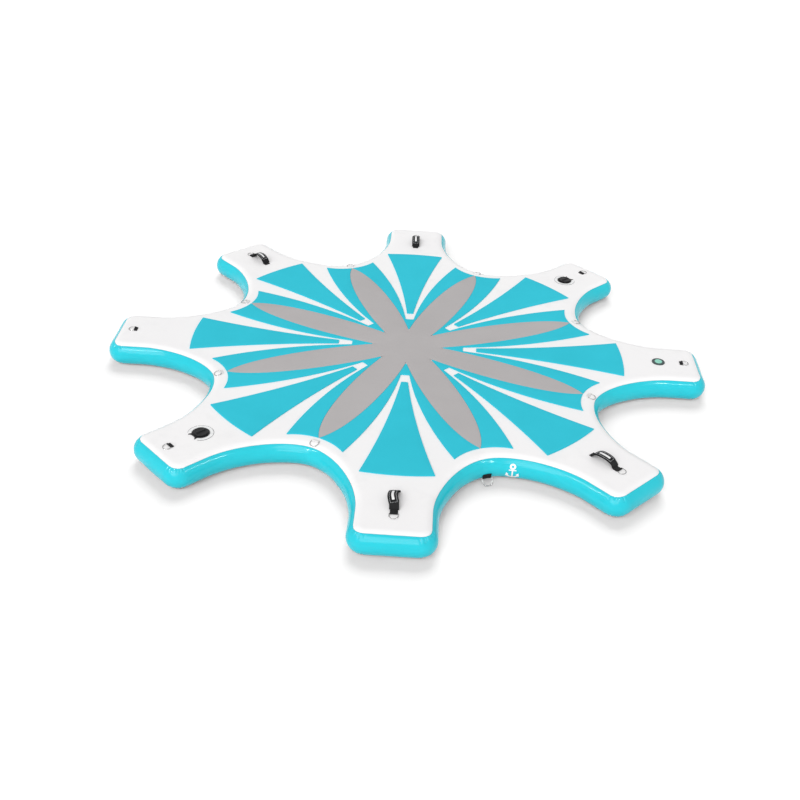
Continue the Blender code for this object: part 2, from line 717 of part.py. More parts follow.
def make_relief_valve(dark, mint, panel, cloth):
    foot = place_on_arm(RELIEF_ARM, ARM_END - RELIEF_FROM_END, DECK)
    tube = RELIEF_THROAT_RADIUS + THROAT_WALL
    flange_top = GAP + RELIEF_FLANGE
    well = RELIEF_CAP_RADIUS + GAP
    body = [
        (RELIEF_THROAT_RADIUS, -RELIEF_DEPTH), (tube, -RELIEF_DEPTH), (tube, GAP),
        (RELIEF_FLANGE_RADIUS, GAP), (RELIEF_FLANGE_RADIUS, flange_top - RELIEF_CHAMFER),
        (RELIEF_FLANGE_RADIUS - RELIEF_CHAMFER, flange_top), (well, flange_top), (well, GAP + RELIEF_SEAT),
        (RELIEF_THROAT_RADIUS, GAP + RELIEF_SEAT),
    ]
    add_mesh("relief_valve_body", turned_ring("relief_valve_body", body), dark, foot)
    floor = -RELIEF_DEPTH - POCKET_FLOOR_CLEARANCE
    pocket = cutter("relief_pocket", tube + POCKET_CLEARANCE, floor, FLANGE, foot)
    boolean(panel, "DIFFERENCE", [pocket])
    boolean(cloth, "DIFFERENCE", [pocket])
    cap_low = 2 * GAP + RELIEF_SEAT
    plug = RELIEF_THROAT_RADIUS - GAP
    cap_top = flange_top + RELIEF_CAP_RISE
    cap = [
        (0, cap_low - RELIEF_CAP_PLUG), (plug, cap_low - RELIEF_CAP_PLUG), (plug, cap_low),
        (RELIEF_CAP_RADIUS, cap_low), (RELIEF_CAP_RADIUS, flange_top),
        (RELIEF_CAP_RADIUS - RELIEF_CAP_RISE, cap_top), (0, cap_top),
    ]
    add_mesh("relief_valve_cap", turned_solid("relief_valve_cap", cap), mint, foot)


def main():
    for old in list(bpy.data.objects):
        bpy.data.objects.remove(old)
    white = material("white_pvc", (0.80, 0.79, 0.79), 0.38)
    teal_gloss = material("teal_pvc", (0.04, 0.68, 0.78), 0.22)
    teal_foam = material("teal_foam", (0.035, 0.56, 0.68), 0.85)
    grey_foam = material("grey_foam", (0.51, 0.49, 0.49), 0.88)
    black_web = material("black_webbing", (0.012, 0.012, 0.013), 0.75)
    steel = material("stainless_steel", (0.62, 0.61, 0.60), 0.25, 1.0)
    black_plastic = material("black_plastic", (0.014, 0.014, 0.015), 0.45)
    mint = material("mint_plastic", (0.25, 0.62, 0.50), 0.4)
    base = material("base_cloth", (0.62, 0.62, 0.62), 0.5)

    outline = rail()
    panel = make_panel(outline, base)
    cloth = make_deck_cloth(outline, white)
    make_side_band(outline, teal_gloss)
    make_pads(grey_foam, teal_foam)
    ring = make_tabs(black_web, white, steel)
    make_handles(black_web, steel, ring)
    make_anchor(outline, black_web, steel)
    for arm in VALVE_ARMS:
        make_valve(arm, black_plastic, panel, cloth)
    make_relief_valve(black_plastic, mint, panel, cloth)


main()
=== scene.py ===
import json
from math import acos, asin, atan, ceil, cos, hypot, pi, radians, sin, sqrt

import bpy
import bmesh
import numpy as np
from mathutils import Matrix, Vector, geometry
from mathutils.kdtree import KDTree

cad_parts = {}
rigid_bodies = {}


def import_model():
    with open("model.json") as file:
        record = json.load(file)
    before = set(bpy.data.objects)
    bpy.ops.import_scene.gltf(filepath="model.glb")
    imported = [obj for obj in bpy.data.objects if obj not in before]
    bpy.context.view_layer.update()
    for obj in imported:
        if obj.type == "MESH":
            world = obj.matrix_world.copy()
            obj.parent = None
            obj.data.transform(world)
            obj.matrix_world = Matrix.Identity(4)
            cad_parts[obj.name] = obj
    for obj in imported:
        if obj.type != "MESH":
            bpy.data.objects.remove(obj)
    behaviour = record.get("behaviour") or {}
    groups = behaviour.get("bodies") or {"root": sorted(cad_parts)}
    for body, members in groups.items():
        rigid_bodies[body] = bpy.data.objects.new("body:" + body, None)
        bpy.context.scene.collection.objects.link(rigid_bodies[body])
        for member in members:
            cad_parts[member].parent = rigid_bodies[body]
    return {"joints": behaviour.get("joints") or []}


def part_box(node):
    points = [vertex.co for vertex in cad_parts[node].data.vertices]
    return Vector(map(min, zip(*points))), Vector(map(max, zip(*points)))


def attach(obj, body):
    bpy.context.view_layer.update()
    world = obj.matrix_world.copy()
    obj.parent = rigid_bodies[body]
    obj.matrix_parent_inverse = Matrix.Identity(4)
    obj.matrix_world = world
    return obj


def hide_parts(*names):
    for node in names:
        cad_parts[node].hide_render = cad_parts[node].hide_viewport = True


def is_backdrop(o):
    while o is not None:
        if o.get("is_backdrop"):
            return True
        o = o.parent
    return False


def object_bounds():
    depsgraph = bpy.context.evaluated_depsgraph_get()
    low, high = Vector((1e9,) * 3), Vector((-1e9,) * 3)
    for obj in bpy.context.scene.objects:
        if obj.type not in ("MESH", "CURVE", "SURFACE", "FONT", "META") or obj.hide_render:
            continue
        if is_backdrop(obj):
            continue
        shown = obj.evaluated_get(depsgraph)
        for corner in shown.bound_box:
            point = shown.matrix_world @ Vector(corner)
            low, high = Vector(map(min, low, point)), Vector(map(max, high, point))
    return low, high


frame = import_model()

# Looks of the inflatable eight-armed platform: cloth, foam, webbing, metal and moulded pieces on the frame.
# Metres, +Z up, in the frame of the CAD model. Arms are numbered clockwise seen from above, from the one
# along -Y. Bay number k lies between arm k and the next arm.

CAD_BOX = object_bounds()

# The platform's main sizes, as in the CAD model
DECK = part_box("deck_skin")[1][2]
EDGE_RADIUS = DECK / 2
ARM_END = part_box("side_wall")[1][0] - EDGE_RADIUS
PAD_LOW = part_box("petal_pad")[0][2]
PAD_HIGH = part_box("petal_pad")[1][2]
GAP = PAD_LOW - DECK
ARM_COUNT = 8
SECTOR = 2 * pi / ARM_COUNT
ARM_HALF_WIDTH = 0.1524
ARM_CORNER = 0.022
RAIL_BACK = ARM_END - 0.156
BAY_APEX = 1.180
BAY_SIDE_PULL = 0.181
BAY_APEX_PULL = 0.190
CLOTH = 0.0016
SCRIM_PITCH = 0.0016            # of the threads that print through the cloth's coat
SEAM_ANGLE = radians(33)        # round the edge, from the flat deck down to the seam, along the bays
END_SEAM_ANGLE = radians(27)    # the same, across an arm's end
LOW_SEAM_ANGLE = radians(144)   # down to the seam with the base cloth
SEAM_HALF_GAP = radians(0.6)
SUNK = 0.0006                   # how far the unseen side of a thin layer lies below the cloth

# Columns and rows of the edge
END_STEPS = 12
CORNER_STEPS = 36
SIDE_STEPS = 14
BAY_STEPS = 60
LAP_ROWS = 9
WALL_ROWS = 36
WALL_INSIDE = 0.0052            # the side band's inner face, in from the plain edge
WALL_INSIDE_ROWS = 7
HULL_INSIDE = 0.0057
HULL_INSIDE_ROWS = 14
DECK_SPACING = 0.030
DECK_DIP = 0.0006
DECK_DIP_SIZE = 0.45

# Relief of the side cloth
SEED = 8
PUCKER_OFFSETS = (-0.064, -0.036, -0.013, 0.013, 0.039, 0.066)
PUCKER_DEPTH = (0.0014, 0.0040)
PUCKER_WIDTH = (0.006, 0.010)
PUCKER_REACH = (radians(9), radians(17))
BAY_FOLDS = 6
FOLD_SPREAD = 0.42
FOLD_HEIGHT = (0.0006, 0.0016)
FOLD_LENGTH = (0.045, 0.120)
FOLD_WIDTH = (radians(3.5), radians(6.5))
FOLD_DEGREES = (50, 57, 64, 72, 112)
WAVE_COUNT = 14
WAVE_HEIGHT = 0.00016
MOST_IN = 0.0044
MOST_OUT = 0.0013
RELIEF_START = radians(18)

# Foam pads
PAD_JOINT = 0.0012
RIM_MARGIN = 0.039
PETAL_ROOT = 0.1973
PETAL_ROOT_PULL = (0.3794, 0.1097)
PETAL_TIP_PULL = (0.1925, 0.1311)
PETAL_STEPS = 60
BAY_EDGE_RADIUS = 0.3036
CHEVRON_WING = 0.1724
CHEVRON_BOW = 0.0385
CHEVRON_NOSE = 0.006
CROTCH = 0.347
CROTCH_HALF_WIDTH = 0.0255
WEDGE_INNER = 0.4307
WEDGE_INNER_HALF_WIDTH = 0.0203
WEDGE_FROM_END = 0.428
WEDGE_FLARE = 0.0466
WEDGE_BOW = 0.0199
PAD_BEVEL = 0.0009
PAD_ROUNDING = 0.004
PAD_POINT_STEP = 0.012
PAD_SPACING = 0.028
PAD_DIP = 0.00018
PAD_DIP_SIZE = 0.16

# Webbing and rings
WEB = 0.0022
WEB_CROWN = WEB * 1.04
WIRE = 0.004
BAR_CLEARANCE = 0.0006
RING_REST_CLEARANCE = 0.0008
WEB_WIDTH = 0.040
RING_SIDE_CLEARANCE = 0.0012
RING_LENGTH = 0.038
RING_BEND = 0.004
TAB_LENGTH = 0.016
TAB_FROM_END = 0.055
TAB_FOLD_ANGLE = radians(140)
LAYER_LOW = GAP + WEB / 2
LAYER_HIGH = LAYER_LOW + WEB + GAP
ANCHOR_WEB_WIDTH = 0.050
ANCHOR_WIRE = 0.005
ANCHOR_RING_LENGTH = 0.046
ANCHOR_TAB_LENGTH = 0.022
ANCHOR_ANGLE = radians(117)
PATCH_RADIUS = 0.0375
PATCH = 0.00026
PATCH_LOOPS = ((0.35, PATCH), (0.7, PATCH), (0.96, PATCH), (1.0, -0.0002), (1.0, -SUNK))    # radius share, off
PATCH_INSIDE_RIM = 0.012

# Thread: single stitches, and where the rows lie from a strap's rims and ends
STITCH_PITCH = 0.0036
STITCH_LENGTH = 0.0026
STITCH_RADIUS = 0.00050
STITCH_TAPER = (0.5, 0.95, 1.0, 0.95, 0.5)
STITCH_SEAT = WEB / 2 * 1.02    # height of the sewn face off a strap's middle line
SEW_MARGIN = 0.0035
TAB_ROWS = (0.0035, 0.0095)
ANCHOR_SEW_MARGIN = 0.004
ANCHOR_ROWS = (0.004, 0.014)
HANDLE_INNER_ROWS = (0.004, 0.009, 0.014)
HANDLE_OUTER_ROWS = (0.003, 0.016)

# Carry handles
HANDLE_ARMS = (1, 4, 5, 8)
HANDLE_FROM_END = 0.113
HANDLE_LENGTH = 0.190
HANDLE_INNER_TAB = 0.016
HANDLE_OUTER_TAB = 0.028
HANDLE_RISE = 0.0415
HUMP_SHOULDERS = 2.4
HUMP_FEET = 0.75
ARCH_STEPS = 60
HANDLE_BOW = {1: -0.012, 4: -0.003, 5: 0.002, 8: -0.006}    # how far each arch leans sideways
HANDLE_TWIST = 22               # radians that an arch turns over for each metre of its lean
SLEEVE_WIDTH = 0.054
SLEEVE_SHARES = (0.02, 0.80)    # of the arch's length that the padded sleeve covers
SLEEVE_EDGE = 0.0042
SLEEVE_CROWN = 0.0072
SLEEVE_EASE = 0.004             # over which its ends thin out
SLEEVE_END = 0.55               # square of the share of its thickness that is left at the ends
SLEEVE_END_WIDTH = 0.985        # share of its width that is left where it has no thickness
WRAP_SHARES = (0.802, 0.985)    # of the arch's length that a second layer of wide ribbed webbing covers
WRAP_WIDTH = 0.050
WRAP = 0.0040
STITCH_BOX = (0.037, 0.098)
STITCH_ROW_GAP = 0.0020
TAPE = (0.0130, 0.068)
TAPE_FACES = (-0.0002, 0.0006)  # their heights off the sleeve
PANEL_SHARES = {1: 0.525, 4: 0.46, 5: 0.43, 8: 0.50}    # where the box and the tape are centred on each arch

# Inflation valves
VALVE_ARMS = (2, 6)
VALVE_FROM_END = 0.250
FLANGE_RADIUS = 0.049
FLANGE = 0.0035
FLANGE_BEVEL = 0.0012
FLANGE_EASE = 0.0004            # at the lower rims of the flanges
FLANGE_CORNER = 0.0045
FLANGE_POINT_STEP = 0.004
LUG_HALF_ANGLE = radians(34)
PRONG_REACH = 0.068
PRONG_ANGLE = radians(28)
BITE_DEPTH = 0.0115
BITE_HALF_WIDTH = 0.0275
THROAT_RADIUS = 0.025
THROAT_WALL = 0.003
THROAT_DEPTH = 0.034
SEAT = 0.003
GUIDE_BORE = 0.0019
VENT_COUNT = 8
VENT_RADIUS = 0.0019
VENT_CIRCLE = 0.0145
STEM_PLATE = 0.003
STEM_TRAVEL = 0.008
VALVE_CAP_RADIUS = 0.0405
VALVE_CAP = 0.0075
VALVE_CAP_CHAMFER = 0.0035
VALVE_CAP_PLUG = 0.003
VALVE_CAP_EASES = (0.001, 0.0006)   # at the plug's and the rim's lower edges
KNURL_TOP = 0.0004              # how far below the chamfer the knurls' straight part ends
GRIP_LENGTH = 0.058
GRIP_WIDTH = 0.011
GRIP_RISE = 0.005
GRIP_BEVEL = 0.0018
GROOVE = 0.0009
GROOVE_WALL = (0.0035, 0.0045)  # its top and foot, in from the chamfer
GRIP_FOOT = ((-0.0014, -GROOVE), (-0.0004, 0.0002), (0.0, 0.0014))      # in from the grip's sides, height
POCKET_CLEARANCE = 0.001
POCKET_FLOOR_CLEARANCE = 0.004
CRESCENT_ANGLES = (radians(42), radians(318))
CRESCENT_RADII = (0.0515, 0.0695)
CRESCENT_RIM_RADII = (0.0696, 0.0711)
CRESCENT = 0.0012
CRESCENT_RIM = 0.0015
KNURLS = 44
KNURL_SIDES = 6
KNURL_DEPTH = 0.0009

# Relief valve
RELIEF_ARM = 7
RELIEF_FROM_END = 0.203
RELIEF_FLANGE_RADIUS = 0.040
RELIEF_CAP_RADIUS = 0.0235
RELIEF_FLANGE = 0.005
RELIEF_SEAT = 0.0015
RELIEF_CHAMFER = 0.003
RELIEF_EASE = 0.0006            # at the mouth of its well
RELIEF_GROOVE = ((0.0062, 0.0), (0.0066, 0.0006), (0.0076, 0.0006), (0.0080, 0.0))  # in from the rim, down
RELIEF_THROAT_RADIUS = 0.017
RELIEF_DEPTH = 0.026
RELIEF_CAP_PLUG = 0.007
RELIEF_CAP_RISE = 0.0015
RELIEF_CAP_EASES = (0.0008, 0.0005)     # at the plug's and the rim's lower edges
RELIEF_DISH = ((0.0045, 0.0), (0.0056, 0.0011))     # in from the cap's rim, down
RELIEF_KNURLS = 24
RELIEF_KNURL_DEPTHS = [0.0] * 5 + [0.0009] * 2 + [0.0005] * 3 + [0.0] * 4
RELIEF_ARMS = 3
RELIEF_ARM_SHAPE = ((0.00532, -0.0028), (0.0145, -0.0028), (0.0157, 0.0), (0.0145, 0.0028))
RELIEF_ARM_CORNER = 0.0009
RELIEF_ARM_POINT_STEP = 0.003
RELIEF_RIDGE = ((-0.0006, 0.0011), (0.0, 0.0004), (0.0003, 0.0001), (0.0009, 0.0))  # in, down

# Anchor sign on the wall of the last bay, a plain pictogram, by distance along the wall and height
SIGN_ALONG = 0.137
SIGN_HEIGHT = 0.0717
SIGN = 0.00025
SIGN_SPACING = 0.0035
SIGN_POINT_STEP = 0.003
SIGN_EYE = (0.0, 0.032)
SIGN_EYE_RADII = (0.017, 0.0066)
SIGN_BARS = ((0.0205, 0.0085, 0.0148), (0.0040, -0.0355, 0.0083))       # half width, low and high
SIGN_BELLY = (0.0, -0.010)
SIGN_BELLY_ARCS = ((0.026, 1.1), (0.036, 0.95))                         # radius and half angle
SIGN_FLUKE = [(0.0190, -0.0175), (0.0325, -0.0030), (0.0370, -0.0285)]

# Camera. The focal length and the aim are in pixels of the picture.
PICTURE = 800
FOCAL = 1034.158
ELEVATION = radians(29.904)
DISTANCE = 6.48295
AIM = (4.412, -54.766)
ROLL = radians(3.0906)
HEADING = radians(-0.7173)
SENSOR = 36.0
CLIP_END = 200.0

# Light
AMBIENT = 0.60
BACK_SUN = 2.10
BACK_ELEVATION = radians(48)
BACK_SOFTNESS = radians(38)
FRONT_SUN = 2.22
FRONT_ELEVATION = radians(41)
FRONT_TURN = radians(-110)
FRONT_SOFTNESS = radians(50)
SUN_DISTANCE = 8
STREAK = 78.0                   # power of each narrow strip that draws a streak along the glossy side cloth
STREAK_SIZE = (2.4, 0.15)
STREAK_DISTANCE = 6.5
STREAK_ELEVATION = radians(41)
STREAK_TURNS = (radians(-140), radians(-42))
FLOOR_GREY = 0.68
FLOOR_GLOW = 0.02
FLOOR_SIZE = 60.0
FLOOR_HEIGHT = -0.0004

SHARP = radians(38)
DETAIL_SIDES = 64


# Finishes


class Nodes:
    """A node tree and short ways to add to it."""

    def __init__(self, owner):
        owner.use_nodes = True
        self.tree = owner.node_tree

    def add(self, kind, links=(), **settings):
        node = self.tree.nodes.new("ShaderNode" + kind)
        for setting, value in settings.items():
            setattr(node, setting, value)
        for name, value in dict(links).items():
            socket = node.inputs[name]
            if isinstance(value, bpy.types.NodeSocket):
                self.tree.links.new(value, socket)
            else:
                socket.default_value = (*value, 1.0) if socket.type == "RGBA" else value
        return node

    def maths(self, operation, a, b):
        return self.add("Math", {0: a, 1: b}, operation=operation).outputs[0]

    def ranged(self, value, low, high, start=0.0, end=1.0):
        links = {"Value": value, "From Min": start, "From Max": end, "To Min": low, "To Max": high}
        return self.add("MapRange", links).outputs["Result"]

    def seen(self):
        """1 for a ray that sees the surface straight, mirrored or through glass, 0 for one that lights it."""
        rays = self.add("LightPath").outputs
        direct = self.maths("MAXIMUM", rays["Is Camera Ray"], rays["Is Glossy Ray"])
        return self.maths("MAXIMUM", direct, rays["Is Transmission Ray"])


class Finish(Nodes):
    """A Principled material with its node tree at hand."""

    def __init__(self, name, **sockets):
        self.material = bpy.data.materials.new(name)
        super().__init__(self.material)
        self.shader = self.tree.nodes["Principled BSDF"]
        for socket, value in sockets.items():
            self.shader.inputs[socket.replace("_", " ")].default_value = value
        self.coords = self.add("TexCoord").outputs["Object"]

    def noise(self, scale, detail=3.0, rough=0.5):
        links = {"Vector": self.coords, "Scale": scale, "Detail": detail, "Roughness": rough}
        return self.add("TexNoise", links).outputs["Fac"]

    def stripes(self, pitch, direction):
        links = {"Vector": self.coords, "Scale": 2 * pi / (20 * pitch)}
        return self.add("TexWave", links, bands_direction=direction).outputs["Fac"]

    def mixed(self, share, first, second):
        # Sockets 0, 6 and 7 are the share and the two colours, and output 2 is the mixed colour
        return self.add("Mix", {0: share, 6: first, 7: second}, data_type="RGBA").outputs[2]

    def bump(self, height, distance, normal=None):
        links = {"Height": height, "Distance": distance, "Strength": 1.0}
        if normal:
            links["Normal"] = normal
        return self.add("Bump", links).outputs["Normal"]

    def finish(self, colour, roughness, normal):
        for socket, value in (("Base Color", colour), ("Roughness", roughness), ("Normal", normal)):
            self.tree.links.new(value, self.shader.inputs[socket])
        return self.material


def shaded(colour, share):
    return tuple(share * v for v in colour)


def coated_cloth(name, colour, shade, roughness, scrim, **sockets):
    """PVC-coated woven cloth: a soft print of the threads under the coat, faint handling marks."""
    made = Finish(name, **sockets)
    blotch = made.ranged(made.noise(1.7, 4.0, 0.55), 0.0, 1.0, 0.38, 0.68)
    marks = made.ranged(made.noise(9.0, 5.0, 0.6), 0.0, 0.5, 0.55, 0.75)
    tint = made.mixed(marks, made.mixed(blotch, colour, shade), shaded(shade, 0.94))
    weave = made.maths("MULTIPLY", *(made.stripes(SCRIM_PITCH, way) for way in "XY"))
    peel = made.bump(made.noise(140.0), 0.00012, made.bump(weave, scrim))
    normal = made.bump(made.noise(22.0, 2.0, 0.4), 0.0007, peel)
    gloss = made.ranged(made.noise(6.0, 5.0, 0.6), roughness - 0.05, roughness + 0.07)
    return made.finish(tint, gloss, normal)


def foam(name, colour):
    """Closed-cell foam with a brushed, slightly mottled face."""
    made = Finish(name, Specular_IOR_Level=0.15)
    grain = made.noise(1900.0, 3.0, 0.6)
    cloud = made.ranged(made.noise(3.2, 4.0, 0.55), 0.0, 1.0, 0.35, 0.7)
    tint = made.mixed(cloud, colour, shaded(colour, 0.94))
    tint = made.mixed(made.ranged(grain, 0.0, 0.35, 0.4, 0.7), tint, shaded(colour, 1.12))
    normal = made.bump(made.noise(520.0, 2.0), 0.00022, made.bump(grain, 0.00018))
    return made.finish(tint, made.ranged(cloud, 0.82, 0.93), normal)


def webbing(name, colour, depth, pitch=0.0026, thread=0.0011, lane=0.0034):
    """Woven webbing with slanting ribs, laid by the strap's own directions. Painted shade darkens its grooves
    and a painted highlight lightens its ribs, each by depth, mixed with a random fuzz of tone.
    """
    made = Finish(name, Specular_IOR_Level=0.15)
    place = made.add("Attribute", attribute_type="GEOMETRY", attribute_name="weave").outputs["Vector"]
    along, across = made.add("SeparateXYZ", {"Vector": place}).outputs[:2]

    def waves(value, length):
        return made.maths("SINE", made.maths("MULTIPLY", value, 2 * pi / length), 0.0)

    ribs = waves(made.maths("ADD", along, made.maths("PINGPONG", across, lane)), pitch)
    height = made.maths("ADD", ribs, made.maths("MULTIPLY", waves(across, thread), 0.45))
    fuzz = made.noise(900.0, 3.0, 0.6)
    # The colour follows the ribs' height: painted shade in the grooves and painted highlight on the rib tops,
    # plus the fuzz's random tone
    share = made.ranged(made.maths("ADD", height, fuzz), 0.0, 1.0, -1.2, 2.0)
    tint = made.mixed(share, shaded(colour, 1 - depth), shaded(colour, 1 + depth))
    normal = made.bump(height, 0.00022, made.bump(fuzz, 0.0001))
    return made.finish(tint, made.ranged(fuzz, 0.6, 0.85), normal)


def plain(name, colour, roughness, scale, grain, **sockets):
    """Moulded or cast surface with faint mottling and fine grain."""
    made = Finish(name, **sockets)
    mottle = made.noise(scale, 4.0, 0.55)
    fine = made.noise(scale * 14, 3.0, 0.6)
    tint = made.mixed(made.ranged(mottle, 0.0, 1.0, 0.35, 0.7), colour, shaded(colour, 0.82))
    gloss = made.ranged(mottle, roughness - 0.05, roughness + 0.08)
    return made.finish(tint, gloss, made.bump(fine, grain))


def make_finishes():
    """Each finish by name, with the material slot that it belongs to."""
    made = {}

    def add(recipe, name, slot, *looks, **sockets):
        made[name] = (recipe(name, *looks, **sockets), slot)

    add(coated_cloth, "white_cloth", "white_pvc", (0.86, 0.85, 0.852), (0.835, 0.827, 0.832), 0.42, 0.00003,
        Specular_IOR_Level=0.3)
    add(coated_cloth, "teal_cloth", "teal_pvc", (0.021, 0.528, 0.620), (0.017, 0.498, 0.595), 0.17, 0.000015,
        Specular_IOR_Level=0.10, Coat_Weight=0.22, Coat_Roughness=0.04)
    add(coated_cloth, "base_cloth_finish", "base_cloth", (0.74, 0.735, 0.74), (0.70, 0.70, 0.705), 0.45, 0.00006)
    add(foam, "teal_foam_finish", "teal_foam", (0.030, 0.515, 0.640))
    add(foam, "grey_foam_finish", "grey_foam", (0.430, 0.412, 0.412))
    # The last number is the share of painted shade in the grooves and painted highlight on the ribs
    add(webbing, "black_webbing_finish", "black_webbing", (0.014, 0.014, 0.015), 0.5)
    add(webbing, "pale_webbing_finish", "pale_webbing", (0.78, 0.775, 0.775), 0.05)
    for name, slot, colour, roughness, scale, grain, specular in (
        ("grey_trim", "base_cloth", (0.10, 0.10, 0.105), 0.5, 60.0, 0.00004, 0.25),
        ("neoprene", "black_webbing", (0.012, 0.012, 0.013), 0.80, 300.0, 0.00010, 0.12),
        ("label_tape", "pale_webbing", (0.80, 0.80, 0.80), 0.55, 260.0, 0.00005, 0.3),
        ("black_nylon", "black_plastic", (0.010, 0.010, 0.011), 0.42, 110.0, 0.00004, 0.2),
        ("dark_moulding", "black_plastic", (0.050, 0.072, 0.072), 0.42, 110.0, 0.00004, 0.25),
        ("mint_moulding", "mint_plastic", (0.27, 0.64, 0.52), 0.38, 90.0, 0.00003, 0.35),
    ):
        add(plain, name, slot, colour, roughness, scale, grain, Specular_IOR_Level=specular)
    add(plain, "stainless", "stainless_steel", (0.42, 0.42, 0.415), 0.20, 90.0, 0.00001, Metallic=1.0)
    add(plain, "clear_collar", "white_pvc", (0.84, 0.85, 0.85), 0.18, 60.0, 0.00003, Coat_Weight=0.6,
        Coat_Roughness=0.1)
    add(plain, "black_thread", "black_webbing", (0.02, 0.02, 0.021), 0.6, 700.0, 0.00004)
    add(plain, "grey_thread", "black_webbing", (0.56, 0.57, 0.58), 0.6, 700.0, 0.00004)
    add(plain, "white_thread", "pale_webbing", (0.76, 0.76, 0.76), 0.6, 700.0, 0.00004)
    return made


FINISHES = make_finishes()


# Small geometry helpers


def arm_angle(arm):
    return -pi / 2 - SECTOR * (arm - 1)


def bay_angle(bay):
    return arm_angle(bay) - SECTOR / 2


def turned(point, angle):
    x, y = point
    return (x * cos(angle) - y * sin(angle), x * sin(angle) + y * cos(angle))


def spread(start, end, steps):
    return [start + (end - start) * i / steps for i in range(steps + 1)]


def stand(distance, angle, height):
    """The place at a distance from the middle and a height, with +X pointing outwards."""
    return Matrix.Translation((*turned((distance, 0.0), angle), height)) @ Matrix.Rotation(angle, 4, "Z")


def on_arm(arm, from_end):
    return stand(ARM_END - from_end, arm_angle(arm), DECK)


def bezier(ends, shares):
    """Points and unit tangents of a cubic curve."""
    a, b, c, d = (np.array(end, float) for end in ends)
    t = np.array(shares)[:, None]
    u = 1 - t
    points = u ** 3 * a + 3 * u * u * t * b + 3 * u * t * t * c + t ** 3 * d
    slopes = u * u * (b - a) + 2 * u * t * (c - b) + t * t * (d - c)
    return points, slopes / np.linalg.norm(slopes, axis=1)[:, None]


def arc(radius, start, end, steps, centre=(0.0, 0.0)):
    x, y = centre
    return [(x + radius * cos(turn), y + radius * sin(turn)) for turn in spread(start, end, steps)]


def circle(radius, sides=DETAIL_SIDES, centre=(0.0, 0.0)):
    return arc(radius, 0.0, 2 * pi, sides, centre)[:-1]


def quarter(radius, top, bend, steps):
    """A rim rounded over from its side up to its flat top, as (radius, height)."""
    return [(radius - bend * (1 - cos(turn)), top - bend * (1 - sin(turn)))
            for turn in spread(0.0, pi / 2, steps)]


def eased(top, bend, steps):
    """Rows of a stack that round an outline's upper rim over, up to its flat top."""
    return [(-out, height) for out, height in quarter(0.0, top, bend, steps)]


def bowed(start, end, bow, steps):
    """Points of the arc from start to end that stands off its chord by bow, to the left of the way."""
    chord = Vector(end) - Vector(start)
    half = chord.length / 2
    radius = (half * half + bow * bow) / (2 * bow)
    left = Vector((-chord.y, chord.x)).normalized()
    centre = (Vector(start) + Vector(end)) / 2 - left * (radius - bow)
    sweep = 2 * asin(half / radius)
    turns = [sweep * (0.5 - i / steps) for i in range(steps + 1)]
    return [tuple(centre + (left * cos(turn) - chord.normalized() * sin(turn)) * radius) for turn in turns]


def dense(outline, step):
    """The same closed outline with points at most step apart."""
    points = []
    for a, b in zip(outline, outline[1:] + outline[:1]):
        count = max(1, ceil(hypot(b[0] - a[0], b[1] - a[1]) / step))
        points += [(a[0] + (b[0] - a[0]) * i / count, a[1] + (b[1] - a[1]) * i / count) for i in range(count)]
    return points


def rounded(outline, reach, steps=5, least_turn=radians(22)):
    """The closed outline with its corners rounded off, starting reach before each corner."""
    count = len(outline)
    points = [Vector(point) for point in outline]
    corners = [i for i in range(count)
               if (points[i] - points[i - 1]).angle(points[(i + 1) % count] - points[i]) > least_turn]

    def walk(i, way):
        """The point reach away from a corner along the outline, and the indices passed over."""
        left = reach
        here = points[i]
        passed = []
        while True:
            i = (i + way) % count
            step = (points[i] - here).length
            if step > left or i in corners:
                return here.lerp(points[i], min(left / step, 0.45)), passed
            left -= step
            here = points[i]
            passed.append(i)

    dropped = set(corners)
    arcs = {}
    for i in corners:
        before, back = walk(i, -1)
        after, ahead = walk(i, 1)
        dropped.update(back + ahead)
        arcs[i] = [tuple(before.lerp(points[i], t).lerp(points[i].lerp(after, t), t))
                   for t in spread(0.0, 1.0, steps)]
    result = []
    for i in range(count):
        result += arcs.get(i, [] if i in dropped else [outline[i]])
    return result


def inset(outline, amount):
    """The closed counter-clockwise outline moved in, with mitred corners."""
    points = np.array(outline)
    into = points - np.roll(points, 1, 0)
    into /= np.linalg.norm(into, axis=1)[:, None]
    out_of = np.roll(into, -1, 0)
    left = np.c_[-(into + out_of)[:, 1], (into + out_of)[:, 0]]
    left /= np.linalg.norm(left, axis=1)[:, None]
    share = np.maximum(left[:, 0] * -into[:, 1] + left[:, 1] * into[:, 0], 0.4)
    return [tuple(point) for point in points + left * (amount / share)[:, None]]


def inside(polygon, points):
    """Which points lie in a polygon."""
    x, y = points[:, 0], points[:, 1]
    found = np.zeros(len(points), bool)
    for (ax, ay), (bx, by) in zip(polygon, np.roll(polygon, -1, 0)):
        if ay != by:
            found ^= ((ay > y) != (by > y)) & (x < (bx - ax) * (y - ay) / (by - ay) + ax)
    return found


def hexagonal(polygon, spacing):
    """Points of a regular triangular grid inside a polygon and clear of its border."""
    low, high = polygon.min(0), polygon.max(0)
    rows = []
    for n, y in enumerate(np.arange(low[1], high[1], spacing * sqrt(3) / 2)):
        x = np.arange(low[0] + (n % 2) * spacing / 2, high[0], spacing)
        rows.append(np.c_[x, np.full(len(x), y)])
    grid = np.vstack(rows)
    grid = grid[inside(polygon, grid)]
    tree = KDTree(len(polygon))
    for i, (x, y) in enumerate(polygon):
        tree.insert((x, y, 0.0), i)
    tree.balance()
    return np.array([(x, y) for x, y in grid if tree.find((x, y, 0.0))[2] > 0.6 * spacing])


def ripple(x, y, size, seed):
    """A smooth field from 0 to 1 with features about as large as size."""
    draw = np.random.default_rng(seed)
    total = 0.0
    for _ in range(7):
        turn, phase = draw.uniform(0, 2 * pi, 2)
        pitch = 2 * pi / (size * draw.uniform(0.8, 2.2))
        total += sin(pitch * (x * cos(turn) + y * sin(turn)) + phase)
    return 0.5 + total / 14


